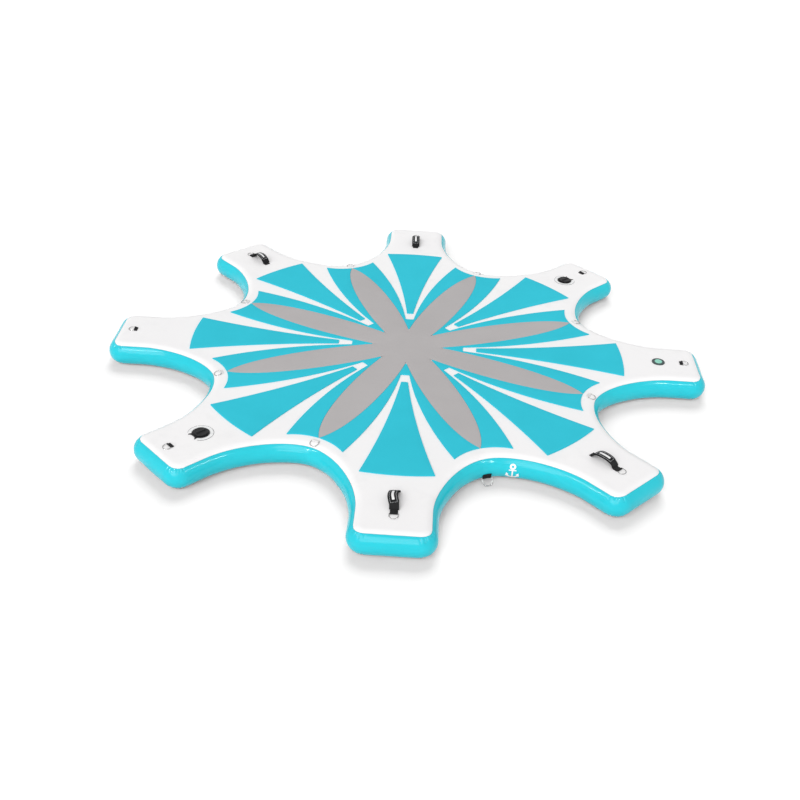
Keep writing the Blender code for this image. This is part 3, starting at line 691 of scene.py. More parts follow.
class Solid:
    """A mesh in the making: points, faces and, on straps, where each point is along and across the weave."""

    def __init__(self, matrix=None):
        self.matrix = matrix or Matrix()
        self.points = []
        self.faces = []
        self.weave = []

    def loop(self, points):
        first = len(self.points)
        self.points.extend(tuple(float(v) for v in point) for point in points)
        return list(range(first, len(self.points)))

    def level(self, outline, height):
        return self.loop([(x, y, height) for x, y in outline])

    def stack(self, outline, rows):
        """Joined loops of one outline, each moved in by an amount and laid at a height."""
        loops = [self.level(inset(outline, amount), height) for amount, height in rows]
        self.run(loops)
        return loops

    def turned(self, profile, sides, ripples=0, power=1):
        """Loops of a turned form from its profile: radius, height and, where it is knurled, how deeply."""
        loops = []
        for radius, height, *depth in profile:
            shape = []
            for turn in spread(0.0, 2 * pi, sides)[:-1]:
                reach = radius - sum(depth) * (0.5 + 0.5 * cos(ripples * turn)) ** power
                shape.append((reach * cos(turn), reach * sin(turn)))
            loops.append(self.level(shape, height))
        self.run(loops)
        return loops

    def join(self, low, high):
        for i, j in zip(range(len(low)), [*range(1, len(low)), 0]):
            self.faces.append((low[i], low[j], high[j], high[i]))

    def run(self, loops):
        for low, high in zip(loops, loops[1:]):
            self.join(low, high)

    def fill(self, border, holes=(), spacing=None, height=None):
        """Fills a level loop except for its holes. Extra points are spacing apart, at height(x, y)."""
        loops = [border, *holes]
        names = [i for loop in loops for i in loop]
        edges = []
        for loop in loops:
            start = len(edges)
            edges += [(start + i, start + (i + 1) % len(loop)) for i in range(len(loop))]
        rims = [np.array([self.points[i][:2] for i in loop]) for loop in loops]
        if spacing:
            extra = hexagonal(rims[0], spacing)
            for rim in rims[1:]:
                middle = rim.mean(0)
                reach = np.linalg.norm(rim - middle, axis=1).max() + spacing / 3
                extra = extra[np.linalg.norm(extra - middle, axis=1) > reach]
            names += self.loop([(x, y, height(x, y)) for x, y in extra])
        flat = [Vector(self.points[i][:2]) for i in names]
        made = geometry.delaunay_2d_cdt(flat, edges, [], 1, 1e-7)
        triangles = np.array(made[2])
        middles = np.array([tuple(point) for point in made[0]])[triangles].mean(1)
        keep = np.ones(len(triangles), bool)
        for rim in rims[1:]:
            keep &= ~inside(rim, middles)
        level = self.points[border[0]][2]
        place = [names[found[0]] if found else self.loop([(spot.x, spot.y, level)])[0]
                 for spot, found in zip(made[0], made[3])]
        self.faces += [tuple(place[corner] for corner in triangle) for triangle in triangles[keep]]

    def cap(self, loop):
        self.faces.append(tuple(loop))

    def make(self, name, finish, body="platform", replaces=None):
        """The finished piece, riding on a body and, where it stands for a CAD node, replacing that."""
        mesh = bpy.data.meshes.new(name)
        mesh.from_pydata([tuple(self.matrix @ Vector(point)) for point in self.points], [], self.faces)
        work = bmesh.new()
        work.from_mesh(mesh)
        bmesh.ops.recalc_face_normals(work, faces=work.faces)
        work.to_mesh(mesh)
        work.free()
        mesh.shade_smooth()
        mesh.set_sharp_from_angle(angle=SHARP)
        if self.weave:
            layer = mesh.attributes.new("weave", "FLOAT_VECTOR", "POINT")
            layer.data.foreach_set("vector", np.array(self.weave, dtype=np.float32).ravel())
        material, slot = FINISHES[finish]
        mesh.materials.append(material)
        made = bpy.data.objects.new(name, mesh)
        bpy.context.scene.collection.objects.link(made)
        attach(made, body)
        if replaces:
            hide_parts(replaces)
        return made


# Panel edge


def half_rail():
    """The flat deck's edge from an arm's end to the next bay's inner end: point, facing and seam angle."""
    corner = (ARM_END - ARM_CORNER, ARM_HALF_WIDTH - ARM_CORNER)
    rail = [((ARM_END, y), (1.0, 0.0), END_SEAM_ANGLE) for y in spread(0.0, corner[1], END_STEPS)[:-1]]
    for turn in spread(0.0, pi / 2, CORNER_STEPS)[:-1]:
        point = (corner[0] + ARM_CORNER * cos(turn), corner[1] + ARM_CORNER * sin(turn))
        seam = END_SEAM_ANGLE + (SEAM_ANGLE - END_SEAM_ANGLE) * sin(turn) ** 2
        rail.append((point, (cos(turn), sin(turn)), seam))
    for x in spread(corner[0], RAIL_BACK, SIDE_STEPS)[:-1]:
        rail.append(((x, ARM_HALF_WIDTH), (0.0, 1.0), SEAM_ANGLE))
    ends = (
        (RAIL_BACK, ARM_HALF_WIDTH),
        (RAIL_BACK - BAY_SIDE_PULL, ARM_HALF_WIDTH),
        turned((BAY_APEX, -BAY_APEX_PULL), SECTOR / 2),
        turned((BAY_APEX, 0.0), SECTOR / 2),
    )
    curve, tangents = bezier(ends, spread(0.0, 1.0, BAY_STEPS))
    return rail + [(tuple(point), (ty, -tx), SEAM_ANGLE) for point, (tx, ty) in zip(curve, tangents)]


class Edge:
    """The half-round edge of the panel: its columns, counter-clockwise, and the relief of the cloth on it."""

    def __init__(self):
        half = half_rail()
        block = [((x, -y), (nx, -ny), seam) for (x, y), (nx, ny), seam in half[::-1]][1:-1] + half
        rows = []
        marks = {}
        for arm in range(ARM_COUNT, 0, -1):
            middle = len(rows) + len(half) - 2
            marks["end", arm] = middle
            half_corner = END_STEPS + CORNER_STEPS // 2
            for side in (1, -1):
                marks["corner", arm, side] = middle + side * half_corner
            angle = arm_angle(arm)
            rows += [turned(point, angle) + turned(facing, angle) + (seam,) for point, facing, seam in block]
            marks["bay", (arm - 2) % ARM_COUNT + 1] = len(rows) - 1
        rows = np.array(rows)
        self.points = rows[:, :2]
        self.facing = rows[:, 2:4]
        self.seams = rows[:, 4]
        self.outer = self.points + self.facing * EDGE_RADIUS
        steps = np.linalg.norm(np.roll(self.outer, -1, 0) - self.outer, axis=1)
        self.runs = np.r_[0.0, np.cumsum(steps)[:-1]]
        self.length = steps.sum()
        self.marks = {name: self.runs[column] for name, column in marks.items()}
        self.draw_relief(np.random.default_rng(SEED))

    def draw_relief(self, draw):
        """Draws the puckers at the corners' seams, the long folds in the bays and faint waves everywhere."""
        self.puckers = []
        self.folds = []
        corners = [(arm, side) for arm in range(1, ARM_COUNT + 1) for side in (-1, 1)]
        for corner in corners:
            for seam, way in ((SEAM_ANGLE, 1), (LOW_SEAM_ANGLE, -1)):
                for offset in PUCKER_OFFSETS:
                    start = self.marks["corner", *corner] + offset + draw.uniform(-0.006, 0.006)
                    depth = draw.uniform(*PUCKER_DEPTH)
                    reach = draw.uniform(*PUCKER_REACH)
                    centre = seam + way * reach * 0.45
                    self.puckers.append((start, centre, depth, draw.uniform(*PUCKER_WIDTH), reach))
        for bay in range(1, ARM_COUNT + 1):
            for n in range(BAY_FOLDS):
                share = (n + draw.uniform(0.1, 0.9)) / BAY_FOLDS
                start = self.marks["bay", bay] + FOLD_SPREAD * (2 * share - 1)
                height = draw.uniform(*FOLD_HEIGHT) * draw.choice((-1, 1))
                centre = radians(draw.choice(FOLD_DEGREES)) + draw.uniform(-0.04, 0.04)
                self.folds.append((start, centre, height, draw.uniform(*FOLD_LENGTH), draw.uniform(*FOLD_WIDTH),
                                   draw.uniform(-0.5, 0.5)))
        self.waves = [(int(draw.integers(14, 90)), draw.uniform(0, 2 * pi), draw.uniform(-3, 3))
                      for _ in range(WAVE_COUNT)]

    def apart(self, run, start):
        return (run - start + self.length / 2) % self.length - self.length / 2

    def relief(self, run, angle):
        """How far the cloth stands off the plain edge. It fades out towards the flat deck and the base."""
        run, angle = np.broadcast_arrays(np.asarray(run, float), np.asarray(angle, float))
        total = np.zeros(run.shape)
        for start, centre, depth, width, reach in self.puckers:
            near = (self.apart(run, start) / width) ** 2
            total -= depth * (1 - 0.7 * near) * np.exp(-near) * np.exp(-((angle - centre) / reach) ** 2)
        for start, centre, height, length, width, slant in self.folds:
            along = self.apart(run, start)
            off = ((angle - centre - slant * along) / width) ** 2
            total += height * (1 - 0.6 * off) * np.exp(-off) * np.exp(-(along / length) ** 2)
        for count, phase, lean in self.waves:
            total += WAVE_HEIGHT * np.sin(2 * pi * count * run / self.length + phase + lean * angle)
        share = np.clip((np.minimum(angle, pi - angle) - RELIEF_START) / (SEAM_ANGLE - RELIEF_START), 0, 1)
        return np.clip(total, -MOST_IN, MOST_OUT) * share * share * (3 - 2 * share)

    def ring(self, angle, off=0.0, relief=True):
        """A loop round the whole edge, at an angle from the top."""
        lift = self.relief(self.runs, angle) if relief else np.zeros(len(self.runs))
        reach = EDGE_RADIUS + off + lift
        flat = self.points + self.facing * (reach * np.sin(angle))[:, None]
        return np.c_[flat, EDGE_RADIUS + reach * np.cos(angle)]

    def place(self, run, over, off):
        """Points on the cloth: run along the edge, over it from the flat deck's border, and off it."""
        run = np.asarray(run, float) % self.length
        over = np.asarray(over, float)
        runs = np.r_[self.runs, self.length]
        x, y, nx, ny = (np.interp(run, runs, np.r_[column, column[0]])
                        for column in (*self.points.T, *self.facing.T))
        angle = np.maximum(over, 0.0) / EDGE_RADIUS
        reach = EDGE_RADIUS + off + self.relief(run, angle)
        outward = np.minimum(over, 0.0) + reach * np.sin(angle)
        return np.c_[x + nx * outward, y + ny * outward, EDGE_RADIUS + reach * np.cos(angle)]

    def rail_run(self, name, across):
        """The run of a place near a mark that is across from it along the flat deck's border."""
        last = int(np.argmin(abs(self.runs - self.marks[name])))
        outer, inner = (np.linalg.norm(line[last] - line[last - 1]) for line in (self.outer, self.points))
        return self.marks[name] + across * outer / inner


def valve_spots():
    """Centre, radius and depth of each pocket in the deck."""
    depth = THROAT_DEPTH + SEAT + STEM_PLATE + STEM_TRAVEL
    pockets = [(arm, VALVE_FROM_END, THROAT_RADIUS, depth) for arm in VALVE_ARMS]
    pockets.append((RELIEF_ARM, RELIEF_FROM_END, RELIEF_THROAT_RADIUS, RELIEF_DEPTH))
    return [(turned((ARM_END - from_end, 0.0), arm_angle(arm)), radius + THROAT_WALL + POCKET_CLEARANCE,
             depth + POCKET_FLOOR_CLEARANCE) for arm, from_end, radius, depth in pockets]


def make_deck(edge):
    """The deck cloth with its lap round the edge, down to the seam."""
    solid = Solid()
    angles = [share * (edge.seams - SEAM_HALF_GAP) for share in spread(0.0, 1.0, LAP_ROWS)]
    outer = [solid.loop(edge.ring(angle)) for angle in angles]
    inner = [solid.loop(edge.ring(angle, -CLOTH)) for angle in angles[::-1]]
    solid.run(outer + inner)
    rims = []
    holes = [circle(radius, DETAIL_SIDES, centre) for centre, radius, _ in valve_spots()]
    for border, height in ((outer[0], DECK), (inner[-1], DECK - CLOTH)):
        rims.append([solid.level(hole, height) for hole in holes])
        solid.fill(border, rims[-1], DECK_SPACING,
                   lambda x, y: height - DECK_DIP * ripple(x, y, DECK_DIP_SIZE, SEED))
    for high, low in zip(*rims):
        solid.join(low, high)
    solid.make("deck_cloth", "white_cloth", replaces="deck_skin")


def make_side_band(edge):
    solid = Solid()
    start, end = edge.seams + SEAM_HALF_GAP, LOW_SEAM_ANGLE - SEAM_HALF_GAP
    outer = [solid.loop(edge.ring(start + (end - start) * share)) for share in spread(0.0, 1.0, WALL_ROWS)]
    inner = [solid.loop(edge.ring(start + (end - start) * share, -WALL_INSIDE, False))
             for share in spread(1.0, 0.0, WALL_INSIDE_ROWS)]
    solid.run(outer + inner + outer[:1])
    # The band throws no coloured light onto the floor
    solid.make("side_band", "teal_cloth", replaces="side_wall").visible_diffuse = False


def make_hull(edge):
    """The drop-stitch slab with the base cloth, whose lap comes up to the lower seam."""
    solid = Solid()
    lap = LOW_SEAM_ANGLE + SEAM_HALF_GAP
    loops = [solid.loop(edge.ring(angle, -HULL_INSIDE, False)) for angle in spread(0.0, lap, HULL_INSIDE_ROWS)]
    loops += [solid.loop(edge.ring(angle)) for angle in spread(lap, pi, LAP_ROWS)]
    solid.run(loops)
    holes = []
    for centre, radius, depth in valve_spots():
        outline = circle(radius, DETAIL_SIDES, centre)
        holes.append(solid.level(outline, DECK - HULL_INSIDE))
        floor = solid.level(outline, DECK - depth)
        solid.join(holes[-1], floor)
        solid.cap(floor)
    solid.fill(loops[0], holes)
    solid.fill(loops[-1], (), DECK_SPACING, lambda x, y: 0.0)
    solid.make("drop_stitch_core", "base_cloth_finish", replaces="drop_stitch_panel")


# Foam pads


def petal_side():
    tip = BAY_APEX - RIM_MARGIN
    root = turned((PETAL_ROOT, 0.0), SECTOR / 2)
    ends = (root, PETAL_ROOT_PULL, (tip - PETAL_TIP_PULL[0], PETAL_TIP_PULL[1]), (tip, 0.0))
    return bezier(ends, spread(0.0, 1.0, PETAL_STEPS))


def petal_outline():
    side = [tuple(point) for point in petal_side()[0]]
    outline = []
    for bay in range(ARM_COUNT, 0, -1):
        outline += [turned(point, bay_angle(bay)) for point in [(x, -y) for x, y in side[1:]] + side[-2::-1]]
    return outline


def chevron_outline():
    beside = [turned((x - ty * PAD_JOINT, y + tx * PAD_JOINT), -SECTOR / 2)
              for (x, y), (tx, ty) in zip(*petal_side())]
    beside = [(x, y) for x, y in beside if -y > CHEVRON_NOSE]
    edge_centre = BAY_APEX - RIM_MARGIN + BAY_EDGE_RADIUS
    start, end = asin(2 * PAD_JOINT / BAY_EDGE_RADIUS), asin(CHEVRON_WING / BAY_EDGE_RADIUS)
    edge = arc(BAY_EDGE_RADIUS, pi - start, pi - end, 24, (edge_centre, 0.0))
    edge = [turned(point, -SECTOR / 2) for point in edge]
    notch = bowed(edge[-1], (CROTCH, -CROTCH_HALF_WIDTH), -CHEVRON_BOW, 40)[1:]
    nose_x = PETAL_ROOT + (CHEVRON_NOSE - PAD_JOINT) * (beside[0][0] - PETAL_ROOT) / (-beside[0][1])
    below = [(nose_x, -CHEVRON_NOSE / 2)] + beside[:-1] + edge + notch
    return below + [(x, -y) for x, y in reversed(below)]


def wedge_outline():
    outer = ARM_END - WEDGE_FROM_END
    spreading = asin((ARM_HALF_WIDTH + WEDGE_FLARE) / outer)
    edge = arc(outer, -spreading, spreading, 30)
    side = bowed(edge[-1], (WEDGE_INNER, WEDGE_INNER_HALF_WIDTH), WEDGE_BOW, 50)[1:]
    return edge + side + [(x, -y) for x, y in reversed(side)]


def make_pad(name, outline, finish, seed):
    """A closed-cell foam sheet with its cut edges eased."""
    solid = Solid()
    outline = dense(rounded(outline, PAD_ROUNDING), PAD_POINT_STEP)
    rows = [(PAD_BEVEL / 3, PAD_LOW), (0.0, PAD_LOW + PAD_BEVEL / 3), *eased(PAD_HIGH, PAD_BEVEL, 4)]
    loops = solid.stack(outline, rows)
    solid.fill(loops[0])
    solid.fill(loops[-1], (), PAD_SPACING, lambda x, y: PAD_HIGH - PAD_DIP * ripple(x, y, PAD_DIP_SIZE, seed))
    solid.make(name + "_foam", finish, replaces=name)


def make_pads():
    make_pad("petal_pad", petal_outline(), "grey_foam_finish", 1)
    shapes = (("wedge_pad", wedge_outline(), 10), ("chevron_pad", chevron_outline(), 20))
    for arm in range(1, ARM_COUNT + 1):
        for name, shape, seed in shapes:
            outline = [turned(point, arm_angle(arm)) for point in shape]
            make_pad(f"{name}_{arm}", outline, "teal_foam_finish", seed + arm)


# Webbing, rings and stitches


class Ribbon:
    """A flat strap's middle line with the directions across it and off it."""

    def __init__(self, path, lean=0.0):
        self.points = np.array(path, float)
        self.runs = np.r_[0.0, np.cumsum(np.linalg.norm(np.diff(self.points, axis=0), axis=1))]
        self.length = self.runs[-1]
        along = np.gradient(self.points, self.runs, axis=0)
        along /= np.linalg.norm(along, axis=1)[:, None]
        sides = np.tile((0.0, 1.0, 0.0), (len(along), 1))
        sides -= along * (sides * along).sum(1)[:, None]
        sides /= np.linalg.norm(sides, axis=1)[:, None]
        offs = np.cross(along, sides)
        turn = np.broadcast_to(lean, len(along))[:, None]
        self.sides = sides * np.cos(turn) + offs * np.sin(turn)
        self.offs = offs * np.cos(turn) - sides * np.sin(turn)

    def at(self, run, across, off):
        point, side, away = (np.array([np.interp(run, self.runs, column) for column in rows.T])
                             for rows in (self.points, self.sides, self.offs))
        return point + across * side + off * away

    def on_top(self, run, across, off):
        return self.at(run, across, STITCH_SEAT + off)


def strap_section(width, edge, crown):
    """A flat strap's outline: across and off. It is edge thick at its rims and crown thick in the middle."""
    round_off = edge / 2
    flat = spread(-width / 2 + round_off, width / 2 - round_off, 10)

    def half(a):
        return edge / 2 + (crown - edge) / 2 * (1 - (2 * a / width) ** 2)

    rim = [(width / 2 - round_off + round_off * cos(turn), half(flat[-1]) * sin(turn))
           for turn in spread(pi / 2, -pi / 2, 6)[1:-1]]
    side = [(a, half(a)) for a in flat] + rim
    return side + [(-a, -off) for a, off in side]


def sweep(solid, place, runs, sections):
    """Carries sections along a strap. place gives a point for along, across and off."""
    loops = []
    for run, section in zip(runs, sections):
        loops.append(solid.loop([place(run, across, off) for across, off in section]))
        solid.weave += [(run, across, off) for across, off in section]
    solid.run(loops)
    solid.cap(loops[0][::-1])
    solid.cap(loops[-1])


def make_strap(name, matrix, ribbon, runs, section, finish, replaces=None):
    solid = Solid(matrix)
    sweep(solid, ribbon.at, runs, [section] * len(runs))
    solid.make(name, finish, replaces=replaces)


def add_tube(solid, path, radius, sides, taper=None):
    """Wire of a round section along a path: closed, or tapering towards its ends."""
    points = [Vector(point) for point in path]
    last = len(points) - 1
    loops = []
    off = None
    for i, point in enumerate(points):
        before = points[max(i - 1, 0) if taper else i - 1]
        after = points[min(i + 1, last) if taper else (i + 1) % len(points)]
        along = (after - before).normalized()
        off = off or along.orthogonal().normalized()
        off = (off - along * off.dot(along)).normalized()
        side = along.cross(off)
        size = radius * (taper[i] if taper else 1.0)
        loops.append(solid.loop([point + off * x + side * y for x, y in circle(size, sides)]))
    solid.run(loops if taper else loops + loops[:1])
    if taper:
        solid.cap(loops[0][::-1])
        solid.cap(loops[-1])


def sew(name, matrix, place, lines, thread):
    """Thread stitches along lines of corners. place gives a surface point for along, across and off."""
    solid = Solid(matrix)
    for (a0, b0), (a1, b1) in (pair for corners in lines for pair in zip(corners, corners[1:])):
        length = hypot(a1 - a0, b1 - b0)
        count = max(1, round(length / STITCH_PITCH))
        for n in range(count):
            path = []
            for share in spread(-1.0, 1.0, 4):
                t = (n + 0.5) / count + STITCH_LENGTH / 2 / length * share
                lift = STITCH_RADIUS * (0.9 - 1.3 * share * share)
                path.append(place(a0 + (a1 - a0) * t, b0 + (b1 - b0) * t, lift))
            add_tube(solid, path, STITCH_RADIUS, 6, STITCH_TAPER)
    solid.make(name, thread)


def rows_across(runs, half):
    return [[(run, -half), (run, half)] for run in runs]


def bar_height(wire):
    return LAYER_LOW + WEB / 2 + BAR_CLEARANCE + wire / 2


def rest_lift():
    return bar_height(WIRE) - WIRE / 2 - RING_REST_CLEARANCE


def fold(length, wire):
    """The middle line of webbing that goes out along the surface, round a ring's bar and back on top."""
    reach = WEB / 2 + BAR_CLEARANCE + wire / 2
    path = [(-length + length * i / 8, LAYER_LOW) for i in range(8)]
    path += arc(reach, -pi / 2, TAB_FOLD_ANGLE, 30, (0.0, LAYER_LOW + reach))
    x, y = path[-1]
    run = (y - LAYER_HIGH) * sin(TAB_FOLD_ANGLE) / -cos(TAB_FOLD_ANGLE)
    # An S-curve eases the fold down onto the lower layer
    for t in spread(0.0, 1.0, 8)[1:]:
        ease = t * t * (3 - 2 * t)
        path.append((x - run * 1.5 * t, y + (LAYER_HIGH - y) * (0.45 * t + 0.55 * ease)))
    return [(x, 0.0, z) for x, z in path + [(x, LAYER_HIGH) for x in spread(path[-1][0], -length, 6)[1:]]]


def ring_path(inner_width, length, wire):
    """A D-ring's middle line. Its bar lies on the Y axis, and its bow reaches out along X."""
    half = inner_width / 2 + wire / 2
    bow = min(half, length - RING_BEND)
    bend = arc(RING_BEND, pi, pi / 2, 8, (RING_BEND, half - RING_BEND))
    path = bend + [(length - bow + bow * cos(turn), half * sin(turn)) for turn in spread(pi / 2, -pi / 2, 48)]
    path += [(x, -y) for x, y in bend[::-1]]
    path += [(0.0, y) for y in spread(-half + RING_BEND, half - RING_BEND, 6)[1:-1]]
    return [(x, y, 0.0) for x, y in path]


def make_ring(name, matrix, tilt, web_width=WEB_WIDTH, length=RING_LENGTH, wire=WIRE):
    solid = Solid(matrix @ Matrix.Rotation(tilt, 4, "Y"))
    add_tube(solid, ring_path(web_width + 2 * RING_SIDE_CLEARANCE, length, wire), wire / 2, 16)
    solid.make(name + "_wire", "stainless", body=name, replaces=name)


def make_patch(name, edge, mark, over):
    """A round reinforcing patch welded to the cloth under a tab."""
    solid = Solid()
    loops = []
    for share, off in PATCH_LOOPS:
        flat = circle(PATCH_RADIUS * share, 48)
        runs = [edge.rail_run(mark, across) for _, across in flat]
        loops.append(solid.loop(edge.place(runs, [over + out for out, _ in flat], off)))
    solid.run(loops)
    solid.cap(loops[0])
    solid.cap(loops[-1])
    solid.make(name, "white_cloth")


def make_tab(kind, number, foot, tilt, edge, over, web, thread):
    """A folded tab with its ring and the patch under it, at an arm's end or a bay's inner end."""
    name = f"{kind}_tab_{number}"
    ribbon = Ribbon(fold(TAB_LENGTH, WIRE))
    make_strap(name + "_web", foot, ribbon, ribbon.runs, strap_section(WEB_WIDTH, WEB, WEB_CROWN), web, name)
    rows = rows_across([ribbon.length - back for back in TAB_ROWS], WEB_WIDTH / 2 - SEW_MARGIN)
    sew(name + "_stitches", foot, ribbon.on_top, rows, thread)
    bar = foot @ Matrix.Translation((0, 0, bar_height(WIRE)))
    make_ring(f"{kind}_ring_{number}", bar, tilt)
    make_patch(f"{kind}_patch_{number}", edge, ("end" if kind == "arm" else "bay", number), over)


def make_tabs(edge):
    tilt = asin(rest_lift() / RING_LENGTH)
    for arm in range(1, ARM_COUNT + 1):
        if arm not in HANDLE_ARMS:
            make_tab("arm", arm, on_arm(arm, TAB_FROM_END), tilt, edge, -TAB_FROM_END, "black_webbing_finish",
                     "black_thread")
    # On a bay's rim the ring hangs over the edge until it touches the cloth's curve
    tilt = atan(sqrt(2 * rest_lift() / EDGE_RADIUS))
    for bay in range(1, ARM_COUNT):
        make_tab("bay", bay, stand(BAY_APEX, bay_angle(bay), DECK), tilt, edge, -PATCH_INSIDE_RIM,
                 "pale_webbing_finish", "white_thread")


# Handles


def hump(x):
    return HANDLE_RISE * max(1 - abs(2 * x - 1) ** HUMP_SHOULDERS, 0.0) ** HUMP_FEET


def handle_ribbon(bow):
    """The handle's middle line from its inner end to the fold round the ring's bar, and the arch's two ends."""
    path = [(-HANDLE_LENGTH + HANDLE_INNER_TAB * i / 6, 0.0, LAYER_LOW) for i in range(6)]
    lean = [0.0] * len(path)
    first = len(path)
    span = HANDLE_LENGTH - HANDLE_INNER_TAB - HANDLE_OUTER_TAB
    for turn in spread(0.0, pi, ARCH_STEPS):
        share = (1 - cos(turn)) / 2
        base = LAYER_LOW + (LAYER_HIGH - LAYER_LOW) * share
        sway = sin(pi * share) ** 2
        path.append((-HANDLE_LENGTH + HANDLE_INNER_TAB + span * share, bow * sway, base + hump(share)))
        lean.append(-bow * HANDLE_TWIST * sway * (1 - 0.5 * share))
    last = len(path) - 1
    back = fold(HANDLE_OUTER_TAB, WIRE)[-2::-1]
    ribbon = Ribbon(path + back, lean + [0.0] * len(back))
    return ribbon, ribbon.runs[first], ribbon.runs[last]


def make_handle(arm):
    foot = on_arm(arm, HANDLE_FROM_END)
    ribbon, start, end = handle_ribbon(HANDLE_BOW[arm])
    arch = end - start
    name = f"handle_{arm}"
    black = "black_webbing_finish"
    make_strap(name + "_web", foot, ribbon, ribbon.runs, strap_section(WEB_WIDTH, WEB, WEB_CROWN), black, name)

    def sleeve_section(to_end):
        swell = sqrt(min(1.0, SLEEVE_END + (1 - SLEEVE_END) * to_end / SLEEVE_EASE))
        width = SLEEVE_WIDTH * (SLEEVE_END_WIDTH + (1 - SLEEVE_END_WIDTH) * swell)
        return strap_section(width, SLEEVE_EDGE * swell, SLEEVE_CROWN * swell)

    first, last = (start + arch * share for share in SLEEVE_SHARES)
    sleeve = Solid(foot)
    runs = spread(first, last, 56)
    sweep(sleeve, ribbon.at, runs, [sleeve_section(min(run - first, last - run)) for run in runs])
    sleeve.make(name + "_sleeve", "neoprene")
    runs = [start + arch * share for share in spread(*WRAP_SHARES, 12)]
    make_strap(name + "_wrap", foot, ribbon, runs, strap_section(WRAP_WIDTH, WRAP, WRAP * 1.1), black)

    def on_sleeve(along, across, off):
        rise = SLEEVE_EDGE / 2 + (SLEEVE_CROWN - SLEEVE_EDGE) / 2 * (1 - (2 * across / SLEEVE_WIDTH) ** 2)
        return ribbon.at(start + arch * PANEL_SHARES[arm] + along, across, rise + off)

    boxes = []
    for gap in (0.0, STITCH_ROW_GAP):
        wide, long = (side / 2 - gap for side in STITCH_BOX)
        boxes.append([(-long, -wide), (long, -wide), (long, wide), (-long, wide), (-long, -wide)])
    sew(name + "_sleeve_stitches", foot, on_sleeve, boxes, "grey_thread")
    tape = Solid(foot)
    wide, long = (side / 2 for side in TAPE)
    under, over = TAPE_FACES
    section = [(across, over) for across in spread(-wide, wide, 8)]
    section += [(across, under) for across, _ in section[::-1]]
    runs = spread(-long, long, 30)
    loops = [tape.loop([on_sleeve(run, across, off) for across, off in section]) for run in runs]
    tape.run(loops)
    for rim in (loops[0], loops[-1]):
        top, low = rim[:len(rim) // 2], rim[:len(rim) // 2 - 1:-1]
        tape.faces += zip(top, top[1:], low[1:], low)
    tape.make(name + "_tape", "label_tape")
    half = WEB_WIDTH / 2 - SEW_MARGIN
    outer = [end + run for run in HANDLE_OUTER_ROWS]
    lines = rows_across([*HANDLE_INNER_ROWS, *outer], half)
    lines += [[(outer[0], -side), (outer[1], side)] for side in (half, -half)]
    sew(name + "_tab_stitches", foot, ribbon.on_top, lines, "black_thread")
    bar = foot @ Matrix.Translation((0, 0, bar_height(WIRE)))
    make_ring(f"handle_ring_{arm}", bar, asin(rest_lift() / RING_LENGTH))


# Anchor fold and sign


def make_anchor():
    angle = bay_angle(ARM_COUNT)
    centre = stand(BAY_APEX, angle, EDGE_RADIUS)
    joint = next(joint for joint in frame["joints"] if joint["name"] == "anchor_ring_lift")
    out, _, up = centre.inverted() @ Vector(joint["pos_m"])
    seat = hypot(out, up) - bar_height(ANCHOR_WIRE)
    path = []
    for along, _, off in fold(ANCHOR_TAB_LENGTH, ANCHOR_WIRE):
        turn = ANCHOR_ANGLE + along / seat
        path.append(((seat + off) * sin(turn), 0.0, (seat + off) * cos(turn)))
    ribbon = Ribbon(path)
    section = strap_section(ANCHOR_WEB_WIDTH, WEB, WEB_CROWN)
    make_strap("anchor_tab_web", centre, ribbon, ribbon.runs, section, "black_webbing_finish", "anchor_tab")
    rows = rows_across([ribbon.length - back for back in ANCHOR_ROWS], ANCHOR_WEB_WIDTH / 2 - ANCHOR_SEW_MARGIN)
    sew("anchor_tab_stitches", centre, ribbon.on_top, rows, "black_thread")
    drop = EDGE_RADIUS + up - ANCHOR_WIRE / 2 - RING_REST_CLEARANCE
    lean = acos(min(drop / ANCHOR_RING_LENGTH, 1.0))
    make_ring("anchor_ring", centre @ Matrix.Translation((out, 0, up)), pi / 2 - lean, ANCHOR_WEB_WIDTH,
              ANCHOR_RING_LENGTH, ANCHOR_WIRE)


def sign_shapes():
    """The anchor pictogram's plates, each an outline and its hole, about the origin and with Y upwards."""
    shapes = [[circle(radius, sides, SIGN_EYE) for radius, sides in zip(SIGN_EYE_RADII, (32, 24))]]
    for half, low, high in SIGN_BARS:
        shapes.append([[(-half, low), (half, low), (half, high), (-half, high)]])
    upper, lower = (arc(radius, -pi / 2 - half, -pi / 2 + half, 24, SIGN_BELLY)
                    for radius, half in SIGN_BELLY_ARCS)
    shapes.append([upper + SIGN_FLUKE + lower[::-1] + [(-x, y) for x, y in SIGN_FLUKE[::-1]]])
    return shapes


def make_sign(edge):
    solid = Solid()
    start = edge.marks["bay", ARM_COUNT] + SIGN_ALONG
    # Heights are laid off as distances round the edge, from the sign's own height
    over = EDGE_RADIUS * acos((SIGN_HEIGHT - EDGE_RADIUS) / EDGE_RADIUS)
    for outlines in sign_shapes():
        plate = Solid()
        rims = [plate.level(dense(outline, SIGN_POINT_STEP), 0.0) for outline in outlines]
        plate.fill(rims[0], rims[1:], SIGN_SPACING, lambda x, y: 0.0)
        x, y, _ = np.array(plate.points).T
        top, low = (solid.loop(edge.place(start + x, over - y, off)) for off in (SIGN, -SUNK))
        for face in plate.faces:
            solid.faces.append(tuple(top[i] for i in face))
            solid.faces.append(tuple(low[i] for i in face[::-1]))
        for rim in rims:
            solid.join([low[i] for i in rim], [top[i] for i in rim])
    solid.make("anchor_sign", "white_cloth")


# Valves


